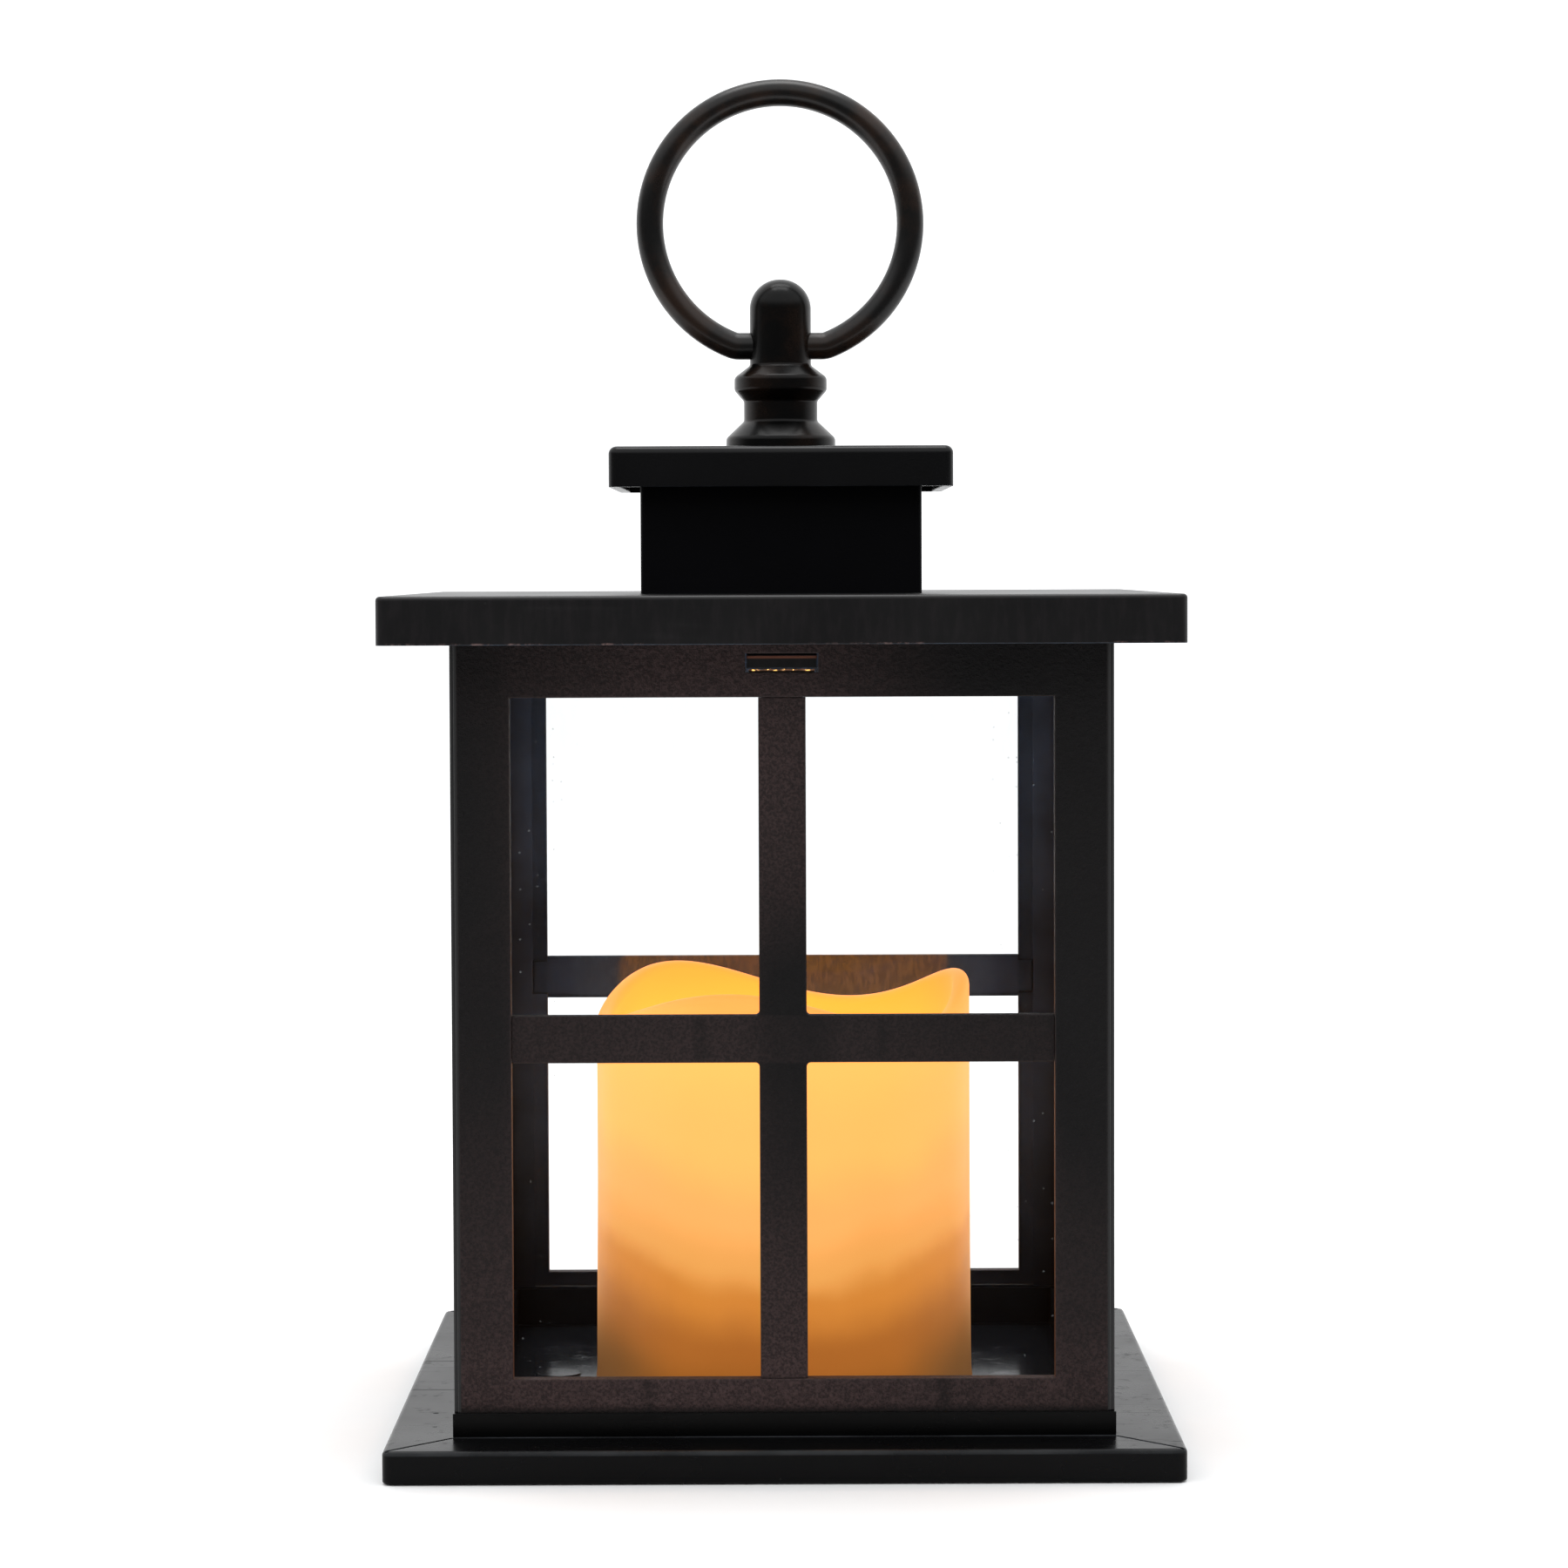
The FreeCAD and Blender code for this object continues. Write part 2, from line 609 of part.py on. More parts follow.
def battery_door():
    """Door under the cells, with a hinge barrel, two pins and a finger notch."""
    plate = block("door_plate", door_half * 2, door_front + hinge_y, d.cover_thick,
                  0, (hinge_y - door_front) / 2, d.cover_rise)
    barrel = rod_across("door_barrel", d.barrel_radius, door_half * 2, 0, hinge_y, hinge_z)
    pins = rod_across("door_pins", d.pin_radius, door_half * 2 + (d.cover_gap + d.pin_length) * 2,
                      0, hinge_y, hinge_z)
    notch = rod("door_notch", d.notch_radius, d.cover_thick, 0,
                -door_front - d.notch_radius + d.notch_depth, d.cover_rise)
    solid = fuse("door_solid", [plate, barrel, pins])
    hand_in(cut("battery_door", solid, [notch]), "battery_door")


# Walls and windows

def wall_panel(side, turn):
    """One wall: mitred sides, bevelled corners, window, catch slot and bar pockets."""
    body = new_body(f"{side}_panel", turn)
    plan = drawing_on(body, "XY_Plane", plinth_top)
    bevel_half = d.panel_bevel / 2
    outline(plan, [(-(wall_face - d.panel_bevel), -wall_face),
                   (wall_face - d.panel_bevel, -wall_face),
                   (wall_face - bevel_half, -(wall_face - bevel_half)),
                   (wall_back, -wall_back),
                   (-wall_back, -wall_back),
                   (-(wall_face - bevel_half), -(wall_face - bevel_half))])
    pad(body, plan, d.panel_height)
    holes = drawing_on(body, "XZ_Plane", wall_face)
    rectangle(holes, -window_half, window_half, sill_level, window_top)
    rectangle(holes, -slot_half, slot_half, slot_bottom, slot_top)
    pocket(body, holes, d.panel_thick)
    pockets = drawing_on(body, "XZ_Plane", wall_back)
    reach = d.tongue_length + d.bar_gap
    half = bar_half - d.tongue_shoulder + d.bar_gap
    for low, high in ((sill_level - reach, sill_level), (window_top, window_top + reach)):
        rectangle(pockets, -half, half, low, high)
    for near, far in ((-(window_half + reach), -window_half), (window_half, window_half + reach)):
        rectangle(pockets, near, far, bar_level - half, bar_level + half)
    pocket(body, pockets, d.tongue_thick + d.bar_gap, backwards=True)
    hand_in(body, f"{side}_panel")


def window_bars(side, turn):
    """The cross of bars in a window, with a tongue at each end."""
    body = new_body(f"{side}_bars", turn)
    across = window_half - d.bar_gap
    low = sill_level + d.bar_gap
    high = window_top - d.bar_gap
    cross = drawing_on(body, "XZ_Plane", wall_back)
    outline(cross, [(-bar_half, low), (bar_half, low), (bar_half, bar_level - bar_half),
                    (across, bar_level - bar_half), (across, bar_level + bar_half),
                    (bar_half, bar_level + bar_half), (bar_half, high), (-bar_half, high),
                    (-bar_half, bar_level + bar_half), (-across, bar_level + bar_half),
                    (-across, bar_level - bar_half), (-bar_half, bar_level - bar_half)])
    pad(body, cross, d.panel_thick - d.bar_setback)
    crossing = bar_half.number + TOUCH

    def is_inner_corner(edge):
        middle = edge.BoundBox.Center
        beside = abs(middle.x) < crossing
        level = abs(middle.z - bar_level.number) < crossing
        return runs_back(edge) and beside and level

    round_edges(body, d.bar_corner, is_inner_corner)
    tongues = drawing_on(body, "XZ_Plane", wall_back)
    half = bar_half - d.tongue_shoulder
    end = d.tongue_length
    rectangle(tongues, -half, half, low - end, low)
    rectangle(tongues, -half, half, high, high + end)
    rectangle(tongues, -(across + end), -across, bar_level - half, bar_level + half)
    rectangle(tongues, across, across + end, bar_level - half, bar_level + half)
    pad(body, tongues, d.tongue_thick)
    hand_in(body, f"{side}_bars")


def window_pane(side, turn):
    """The clear sheet against the back of a wall."""
    body = new_body(f"{side}_pane", turn)
    sheet = drawing_on(body, "XZ_Plane", wall_back)
    half = window_half + d.pane_lap
    rectangle(sheet, -half, half, sill_level - d.pane_lap, window_top + d.pane_lap)
    pad(body, sheet, d.pane_thick, backwards=True)
    hand_in(body, f"{side}_pane")


# Roof

def roof():
    """Flat hollow roof with a locating rib and a catch for each wall."""
    body = new_body("roof")
    slab = drawing_on(body, "XY_Plane", roof_bottom)
    square(slab, roof_half)
    pad(body, slab, d.roof_skirt + d.roof_thick)
    round_edges(body, d.roof_corner, is_upright)
    round_edges(body, d.roof_edge, lambda edge: lies_at(edge, roof_top))
    hollow = drawing_on(body, "XY_Plane", roof_bottom)
    square(hollow, roof_half - d.roof_wall)
    pocket(body, hollow, d.roof_skirt, backwards=True)

    rib_face = wall_back - d.rib_gap
    rib_back = rib_face - d.rib_thick
    rib = drawing_on(body, "XY_Plane", walls_top)
    square(rib, rib_face)
    square(rib, rib_back)
    pad(body, rib, d.rib_depth, backwards=True)
    nose_bottom = slot_bottom + d.catch_leak
    nose_top = slot_top - d.catch_gap
    tongues = drawing_on(body, "XY_Plane", walls_top)
    noses = drawing_on(body, "XY_Plane", nose_bottom)
    half = d.catch_width / 2
    nose_face = wall_face - d.catch_setback
    for x, y in QUARTER_TURNS:
        for drawing, far in ((tongues, rib_face), (noses, nose_face)):
            outline(drawing, [(rib_back * x + half * y, rib_back * y - half * x),
                              (far * x + half * y, far * y - half * x),
                              (far * x - half * y, far * y + half * x),
                              (rib_back * x - half * y, rib_back * y + half * x)])
    pad(body, tongues, walls_top - nose_bottom, backwards=True)
    pad(body, noses, nose_top - nose_bottom)
    holes = drawing_on(body, "XY_Plane", walls_top)
    for across, up in post_places:
        circle(holes, across, up, screw_hole)
    pocket(body, holes, d.roof_thick, backwards=True)
    hand_in(body, "roof")


def chimney():
    """Hollow square turret with a top plate and four screw posts."""
    body = new_body("chimney")
    tower = drawing_on(body, "XY_Plane", roof_top)
    square(tower, chimney_half)
    pad(body, tower, d.chimney_height)
    round_edges(body, d.chimney_corner, is_upright)
    hollow = drawing_on(body, "XY_Plane", roof_top)
    square(hollow, chimney_half - d.chimney_wall)
    pocket(body, hollow, d.chimney_height - d.cap_thick, backwards=True)
    posts = drawing_on(body, "XY_Plane", roof_top)
    pilots = drawing_on(body, "XY_Plane", roof_top)
    for across, up in post_places:
        circle(posts, across, up, d.post_radius)
        circle(pilots, across, up, screw_hole)
    pad(body, posts, d.chimney_height - d.cap_thick)
    pocket(body, pilots, d.screw_length, backwards=True)
    bolt = drawing_on(body, "XY_Plane", chimney_top)
    circle(bolt, 0, 0, bolt_hole)
    pocket(body, bolt, d.cap_thick)
    hand_in(body, "chimney")


def top_cap():
    """Hollow square cap over the chimney."""
    body = new_body("top_cap")
    slab = drawing_on(body, "XY_Plane", cap_bottom)
    square(slab, cap_half)
    pad(body, slab, d.cap_skirt + d.cap_thick)
    round_edges(body, d.cap_corner, is_upright)
    round_edges(body, d.cap_edge, lambda edge: lies_at(edge, cap_top))
    hollow = drawing_on(body, "XY_Plane", cap_bottom)
    square(hollow, cap_half - d.cap_wall)
    pocket(body, hollow, d.cap_skirt, backwards=True)
    bolt = drawing_on(body, "XY_Plane", cap_top)
    circle(bolt, 0, 0, bolt_hole)
    pocket(body, bolt, d.cap_thick)
    hand_in(body, "top_cap")


def finial():
    """Turned post on the cap, bored across for the ring and from below for its screw."""
    body = new_body("finial")
    profile = drawing_on(body, "XZ_Plane")
    rim_top = cap_top + d.foot_rim
    band_bottom = collar_bottom + d.collar_under
    band_top = band_bottom + d.collar_band
    outline(profile, [(0, cap_top), (d.foot_radius, cap_top), (d.foot_radius, rim_top),
                      (d.neck_radius, foot_top), (d.neck_radius, collar_bottom),
                      (d.collar_radius, band_bottom), (d.collar_radius, band_top),
                      (d.stem_radius, collar_top), (d.stem_radius, stem_top), (0, stem_top)])
    revolve(body, profile)
    rounded = [rim_top, band_bottom, band_top]
    round_edges(body, d.turned_edge, lambda edge: any(lies_at(edge, level) for level in rounded))
    hollowed = [foot_top, collar_bottom, collar_top]
    round_edges(body, d.turned_root, lambda edge: any(lies_at(edge, level) for level in hollowed))
    round_edges(body, d.stem_radius - d.dome_flat, lambda edge: lies_at(edge, stem_top))
    bore = drawing_on(body, "YZ_Plane", d.stem_radius)
    circle(bore, 0, pivot_level, d.ring_wire + d.ring_fit)
    pocket(body, bore, d.stem_radius * 2)
    pilot = drawing_on(body, "XY_Plane", cap_top)
    circle(pilot, 0, 0, bolt_hole)
    pocket(body, pilot, d.bolt_length - d.cap_thick * 2 - d.washer_thick + d.screw_fit, backwards=True)
    hand_in(body, "finial")


def carry_ring():
    """Round wire ring whose ends turn in to two pivots in the finial."""
    body = new_body("carry_ring")
    end = d.ring_ends / 2
    drop = (d.ring_rise.number - d.ring_heel.number) / (d.ring_radius.number - d.ring_heel.number)
    lean = math.acos(drop)
    radius, heel = d.ring_radius.number, d.ring_heel.number
    middle = Vector(0, ring_centre.number, 0)
    heel_across = (radius - heel) * math.sin(lean)
    heel_up = pivot_level.number + heel
    bottom = -math.pi / 2
    axis = Vector(0, 0, 1)
    path = drawing_on(body, "XZ_Plane")
    left_heel = Part.Circle(Vector(-heel_across, heel_up, 0), axis, heel)
    right_heel = Part.Circle(Vector(heel_across, heel_up, 0), axis, heel)
    loop = Part.Circle(middle, axis, radius)
    start = Vector(-end.number, pivot_level.number, 0)
    stop = Vector(end.number, pivot_level.number, 0)
    left_stub = Part.LineSegment(Vector(-heel_across, pivot_level.number, 0), start)
    right_stub = Part.LineSegment(stop, Vector(heel_across, pivot_level.number, 0))
    arcs = [Part.ArcOfCircle(right_heel, bottom, bottom + lean),
            Part.ArcOfCircle(loop, bottom + lean, bottom - lean + 2 * math.pi),
            Part.ArcOfCircle(left_heel, bottom - lean, bottom)]
    for curve in [right_stub, *arcs, left_stub]:
        path.addGeometry(curve, False)
    for first, second in ((0, 1), (1, 2), (2, 3), (3, 4)):
        path.addConstraint(Sketcher.Constraint("Tangent", first, 2, second, 1))
    pin_point(path, 0, 1, end, pivot_level)
    pin_point(path, 4, 2, -end, pivot_level)
    pin_point(path, 2, 3, 0, ring_centre)
    path.addConstraint(Sketcher.Constraint("Horizontal", 0))
    path.addConstraint(Sketcher.Constraint("Horizontal", 4))
    path.addConstraint(Sketcher.Constraint("Equal", 1, 3))
    for curve, size in ((1, d.ring_heel), (2, d.ring_radius)):
        held = path.addConstraint(Sketcher.Constraint("Radius", curve, size.number))
        path.setExpression(f"Constraints[{held}]", size.text)
    section = drawing_on(body, "YZ_Plane", end)
    circle(section, 0, pivot_level, d.ring_wire)
    doc.recompute()
    pipe = body.newObject("PartDesign::AdditivePipe", "ring_pipe")
    pipe.Profile = section
    pipe.Spine = (path, [f"Edge{index}" for index in range(1, 6)])
    doc.recompute()
    hand_in(body, "carry_ring")


def upper_screws():
    """The screws of the chimney, and the finial's screw and washer."""
    screws = []
    for index, (x, y) in enumerate(post_places):
        head = rod(f"chimney_screw_head_{index}", d.head_radius, d.head_height,
                   x, y, walls_top - d.head_height)
        shank = rod(f"chimney_screw_shank_{index}", d.screw_radius, d.screw_length, x, y, walls_top)
        screws.append(fuse(f"chimney_screw_{index}", [head, shank]))
    hand_in(gather("chimney_screws", screws), "chimney_screws")
    ceiling = chimney_top - d.cap_thick
    seat = ceiling - d.washer_thick
    disc = rod("washer_disc", d.washer_radius, d.washer_thick, 0, 0, seat)
    hole = rod("washer_hole", bolt_hole, d.washer_thick, 0, 0, seat)
    hand_in(cut("finial_washer", disc, [hole]), "finial_washer")
    head = rod("finial_screw_head", d.bolt_head, d.bolt_head_height, 0, 0, seat - d.bolt_head_height)
    shank = rod("finial_screw_shank", d.bolt_radius, d.bolt_length, 0, 0, seat)
    hand_in(fuse("finial_screw", [head, shank]), "finial_screw")


# Candle

def candle_shell():
    """Hollow candle with a flared foot, a hollow top and a melted, wavy rim."""
    body = new_body("candle_blank")
    profile = drawing_on(body, "XZ_Plane")
    peak = rim_level + d.rim_wave
    foot = d.candle_radius + d.candle_flare
    pool_wall = d.candle_radius - d.pool_inset
    ceiling = pool_level - d.candle_wall
    outline(profile, [(candle_inside, floor_top), (foot, floor_top), (d.candle_radius, rim_level / 2),
                      (d.candle_radius, peak), (pool_wall, peak), (pool_wall, pool_level),
                      (0, pool_level), (0, ceiling), (candle_inside, ceiling)])
    revolve(body, profile)

    def rim_curve(radius):
        points = []
        for index in range(RIM_POINTS):
            angle = 2 * math.pi * index / RIM_POINTS
            wave = math.cos(RIM_LOBES * angle - math.radians(RIM_TURN))
            height = rim_level.number + d.rim_wave.number * wave
            points.append(Vector(radius * math.cos(angle), radius * math.sin(angle), height))
        curve = Part.BSplineCurve()
        curve.interpolate(Points=points, PeriodicFlag=True)
        return Part.Wire([curve.toShape()])

    melted = doc.addObject("Part::Feature", "melted_rim")
    clear = d.pool_inset.number
    band = Part.makeRuledSurface(rim_curve(d.candle_radius.number + clear),
                                 rim_curve(pool_wall.number - clear))
    melted.Shape = band.extrude(Vector(0, 0, d.rim_wave.number * 3))
    hand_in(cut("candle_shell", body, [melted]), "candle_shell")


def battery_box():
    """Flanged box that holds the cells and closes the candle's foot."""
    flange = rod("box_flange", flange_radius, d.flange_thick, 0, 0, floor_top)
    walls = block("box_walls", box_length, box_width, box_top - box_foot, 0, 0, box_foot)
    studs = [rod(f"box_stud_{index}", d.stud_radius, d.stud_height, x, y, flange_top)
             for index, (x, y) in enumerate(stud_places)]
    solid = fuse("box_solid", [flange, walls, *studs])
    bay = block("box_bay", bay_length, bay_width, bay_top - box_foot, 0, 0, box_foot)
    slot = block("box_slot", stem_slot, stem_slot_width, d.flange_thick, 0, switch_y, floor_top)
    pilots = [rod(f"box_pilot_{index}", screw_hole, d.screw_length - floor_thick + d.screw_fit,
                  x, y, floor_top) for index, (x, y) in enumerate(stud_places)]
    slits = [block(f"box_slit_{index}", d.plate_thick + d.tab_gap, d.tab_width + d.tab_gap * 2,
                   d.bay_wall, x, y, bay_top) for index, (x, y) in enumerate(tab_places())]
    hand_in(cut("battery_box", solid, [bay, slot, *pilots, *slits]), "battery_box")


def tab_places():
    """Middles of the two solder tabs, which stand at the ends of the series of cells."""
    across = bay_length / 2 - d.plate_thick / 2
    return [(-across, cell_pitch), (across, -cell_pitch)]


def box_screws():
    """Screws that hold the battery box to the base's floor."""
    screws = []
    for index, (x, y) in enumerate(stud_places):
        head = rod(f"box_screw_head_{index}", d.head_radius, d.head_height,
                   x, y, floor_under - d.head_height)
        shank = rod(f"box_screw_shank_{index}", d.screw_radius, d.screw_length, x, y, floor_under)
        screws.append(fuse(f"box_screw_{index}", [head, shank]))
    hand_in(gather("box_screws", screws), "box_screws")


def battery_cells():
    """Three cells side by side, every other one the other way round."""
    shift = (d.spring_room - d.button_gap) / 2
    barrel = d.cell_length - d.cell_button
    for index in range(3):
        way = 1 if index % 2 == 0 else -1
        y = cell_pitch * (index - 1)
        can = rod_across(f"cell_can_{index}", d.cell_radius, barrel,
                         (shift - d.cell_button / 2) * way, y, cell_level)
        button = rod_across(f"cell_button_{index}", d.button_radius, d.cell_length / 2,
                            (shift + d.cell_length / 4) * way, y, cell_level)
        hand_in(fuse(f"battery_{index + 1}", [can, button]), f"battery_{index + 1}")


def contacts():
    """Contact plates at both ends of the cells, and a leaf spring behind each cell."""
    across = bay_length / 2 - d.plate_thick / 2
    low = cell_level - d.plate_height / 2
    link = cell_pitch + d.plate_width
    plates = [block("link_left", d.plate_thick, link, d.plate_height, -across, -cell_pitch / 2, low),
              block("link_right", d.plate_thick, link, d.plate_height, across, cell_pitch / 2, low)]
    for index, (x, y) in enumerate(tab_places()):
        plate = block(f"end_plate_{index}", d.plate_thick, d.plate_width, d.plate_height, x, y, low)
        tab = block(f"end_tab_{index}", d.plate_thick, d.tab_width,
                    board_top + d.tab_tip - cell_level, x, y, cell_level)
        plates.append(fuse(f"end_contact_{index}", [plate, tab]))
    hand_in(gather("contact_plates", plates), "contact_plates")
    springs = [leaf_spring(index) for index in range(3)]
    hand_in(gather("contact_springs", springs), "contact_springs")


def leaf_spring(index):
    """A bent strip from a contact plate to the flat end of a cell."""
    way = -1 if index % 2 == 0 else 1
    turn = 0 if way < 0 else 180
    body = new_body(f"leaf_{index}", turn)
    foot = -bay_length / 2 + d.plate_thick
    tip = foot + d.spring_room - d.button_gap
    side = cell_pitch * (index - 1) * -way
    half = d.plate_height / 2
    strip = drawing_on(body, "XZ_Plane", side * -1 - d.spring_width / 2)
    outline(strip, [(foot, cell_level - half), (foot + d.spring_thick, cell_level - half),
                    (tip, cell_level), (foot + d.spring_thick, cell_level + half),
                    (foot, cell_level + half), (tip - d.spring_thick * 2, cell_level)])
    pad(body, strip, d.spring_width)
    return body


def lamp_parts():
    """Circuit board, lamp holder and lamp on top of the battery box."""
    strip = block("board_strip", box_length - d.board_inset * 2, (cell_pitch + d.board_margin) * 2,
                  d.board_thick, 0, 0, box_top)
    reach = -switch_y + d.switch_depth / 2
    tongue = block("board_tongue", d.board_tongue, reach, d.board_thick, 0, -reach / 2, box_top)
    slits = [block(f"board_slit_{index}", d.plate_thick + d.tab_gap, d.tab_width + d.tab_gap * 2,
                   d.board_thick, x, y, box_top) for index, (x, y) in enumerate(tab_places())]
    leads = [d.lead_pitch / 2, -d.lead_pitch / 2]
    eyes = [rod(f"board_eye_{index}", d.lead_radius + d.lamp_gap, d.board_thick, x, 0, box_top)
            for index, x in enumerate(leads)]
    board = fuse("board_blank", [strip, tongue])
    hand_in(cut("led_board", board, slits + eyes), "led_board")

    holder = new_body("led_holder")
    shape = drawing_on(holder, "XZ_Plane")
    inner = d.holder_radius - d.holder_wall
    hole = d.lamp_radius + d.lamp_gap
    foot = board_top + d.holder_wall
    ceiling = lamp_seat - d.holder_wall
    outline(shape, [(inner, board_top), (d.holder_foot, board_top), (d.holder_foot, foot),
                    (d.holder_radius, foot), (d.holder_radius, lamp_seat), (hole, lamp_seat),
                    (hole, ceiling), (inner, ceiling)])
    revolve(holder, shape)
    hand_in(holder, "led_holder")

    lamp = new_body("led")
    profile = drawing_on(lamp, "XZ_Plane")
    collar = d.lamp_radius + d.lamp_collar
    collar_foot = ceiling - d.holder_wall
    lamp_top = collar_foot + d.lamp_length
    outline(profile, [(0, collar_foot), (collar, collar_foot), (collar, ceiling),
                      (d.lamp_radius, ceiling), (d.lamp_radius, lamp_top), (0, lamp_top)])
    revolve(lamp, profile)
    round_edges(lamp, d.lamp_radius - d.dome_flat, lambda edge: lies_at(edge, lamp_top))
    wires = drawing_on(lamp, "XY_Plane", collar_foot)
    for x in leads:
        circle(wires, x, 0, d.lead_radius)
    pad(lamp, wires, collar_foot - box_top, backwards=True)
    hand_in(lamp, "led")


def switch():
    """Slide switch under the board, whose slider reaches down through the cover."""
    case = block("switch_case", d.switch_length, d.switch_depth, d.switch_height, 0, switch_y, switch_foot)
    room = block("switch_room", d.slider_head + d.slider_travel + d.switch_gap * 2,
                 d.switch_depth - d.switch_wall * 2, d.slider_rise + d.switch_gap * 2,
                 0, switch_y, switch_foot + d.switch_wall)
    mouth = block("switch_mouth", stem_slot, stem_slot_width, d.switch_wall, 0, switch_y, switch_foot)
    hand_in(cut("switch_body", case, [room, mouth]), "switch_body")
    head_foot = switch_foot + d.switch_wall + d.switch_gap
    head = block("slider_head_block", d.slider_head, d.switch_depth - (d.switch_wall + d.switch_gap) * 2,
                 d.slider_rise, -rest_shift, switch_y, head_foot)
    stem = block("slider_stem_block", d.slider_stem, d.slider_width, head_foot - d.slider_tip,
                 -rest_shift, switch_y, d.slider_tip)
    hand_in(fuse("switch_slider", [head, stem]), "switch_slider")


def build():
    """Make every sub-part."""
    base_tray()
    bottom_cover()
    cover_screws()
    battery_door()
    for side, turn in SIDES:
        wall_panel(side, turn)
        window_bars(side, turn)
        window_pane(side, turn)
    roof()
    chimney()
    top_cap()
    finial()
    carry_ring()
    upper_screws()
    candle_shell()
    battery_box()
    box_screws()
    battery_cells()
    contacts()
    lamp_parts()
    switch()
    doc.recompute()


def write_parts():
    """Check every object and sub-part, then write each sub-part to its own file."""
    for thing in doc.Objects:
        if "Invalid" in thing.State or "Error" in thing.State:
            raise RuntimeError(f"{thing.Label} failed: {thing.State}")
    for thing in sub_parts:
        if thing.Shape.isNull() or not thing.Shape.isValid() or not thing.Shape.Solids:
            raise RuntimeError(f"{thing.Label} has no valid solid")
    os.makedirs("parts", exist_ok=True)
    for thing in sub_parts:
        thing.Shape.exportStep(f"parts/{thing.Label}.step")
        print(thing.Label, len(thing.Shape.Solids), round(thing.Shape.Volume, 1))


build()
write_parts()
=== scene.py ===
import math

import bpy
import numpy as np
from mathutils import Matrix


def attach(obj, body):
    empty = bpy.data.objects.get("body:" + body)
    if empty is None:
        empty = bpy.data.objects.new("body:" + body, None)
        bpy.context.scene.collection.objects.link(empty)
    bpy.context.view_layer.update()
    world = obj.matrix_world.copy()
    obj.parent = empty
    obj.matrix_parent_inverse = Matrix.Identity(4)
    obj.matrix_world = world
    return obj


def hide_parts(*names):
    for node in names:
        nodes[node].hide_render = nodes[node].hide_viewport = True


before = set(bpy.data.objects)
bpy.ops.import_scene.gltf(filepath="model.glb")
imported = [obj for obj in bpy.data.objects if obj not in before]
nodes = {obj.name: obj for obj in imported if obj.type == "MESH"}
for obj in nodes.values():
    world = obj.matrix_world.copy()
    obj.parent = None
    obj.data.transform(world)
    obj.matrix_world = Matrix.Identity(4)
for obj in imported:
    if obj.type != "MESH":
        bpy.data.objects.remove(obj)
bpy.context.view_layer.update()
MM = 0.001
SIDES = ("front", "right", "back", "left")

# Places on the lantern that the materials refer to, in metres.
INSIDE_FLOOR = 0.0058
LEDGE_TOP = 0.0062
BOSS_TOP = 0.0063
BOSS_RIM = 0.0044
WALL_FOOT = 0.0108
WINDOW_HALF = 0.05115
CROSSBAR_LEVEL = 0.0815
CATCH_LINE = 0.1534
ROOF_LINE = 0.1561
BOSS_PLACES = ((0.046, -0.002), (-0.002, -0.046), (-0.046, 0.002), (0.002, 0.046))

# Marks seen in the photograph: sideways place, level and reach on a wall and on the ring,
# and how far back the lines on the ledge lie. On the ring the marks are browner rubbing with a painted warm
# sheen.
WALL_SCUFFS = ((-0.0155, CROSSBAR_LEVEL, 0.005), (0.0188, CROSSBAR_LEVEL, 0.005),
               (-0.0260, 0.0135, 0.006), (0.0298, 0.0135, 0.006))
RING_RUB_AND_SHEEN = ((0.0195, 0.2600, 0.012), (-0.0190, 0.2240, 0.010))
LEDGE_LINES = (0.0148, -0.0156)

# Painted glints on a pane's lip: sideways place, strength and reach.
LIP_PAINTED_GLINTS = ((-0.0053, 1.0, 0.0005), (-0.0044, 0.3, 0.0004), (-0.0012, 0.9, 0.0006),
              (0.0003, 0.25, 0.0005), (0.0049, 1.0, 0.0007))

# The candle's light in linear values: up its side as shares of WAX_REACH, dim and brown low down as a
# painted shadow of the battery box, then where it differs.
GLOW_STRENGTH = 1.6
WAX_REACH = 0.09
WAX_GLOW = ((0.06, (0.125, 0.035, 0.004, 1.0)), (0.20, (0.215, 0.058, 0.008, 1.0)),
            (0.31, (0.350, 0.110, 0.014, 1.0)), (0.39, (0.478, 0.203, 0.048, 1.0)),
            (0.49, (0.580, 0.250, 0.069, 1.0)), (0.64, (0.755, 0.314, 0.076, 1.0)),
            (0.84, (0.900, 0.345, 0.078, 1.0)), (0.94, (0.860, 0.270, 0.056, 1.0)))
RIM_GLOW = (0.86, 0.280, 0.034, 1.0)
POOL_GLOW = (0.90, 0.345, 0.036, 1.0)
SHADED_GLOW = (0.80, 0.170, 0.020, 1.0)
SHADED_ENDS_GLOW = (0.74, 0.205, 0.030, 1.0)
CORNER_SHADE_GLOW = (0.030, 0.014, 0.004, 1.0)
OUTLINE_SHEEN_GLOW = (0.56, 0.280, 0.105, 1.0)


def linear(red, green, blue):
    """Turn a colour as seen on a screen, 0 to 255, into the linear values that shaders use."""
    values = []
    for level in (red, green, blue):
        share = level / 255
        values.append(share / 12.92 if share <= 0.04045 else ((share + 0.055) / 1.055) ** 2.4)
    return (*values, 1.0)


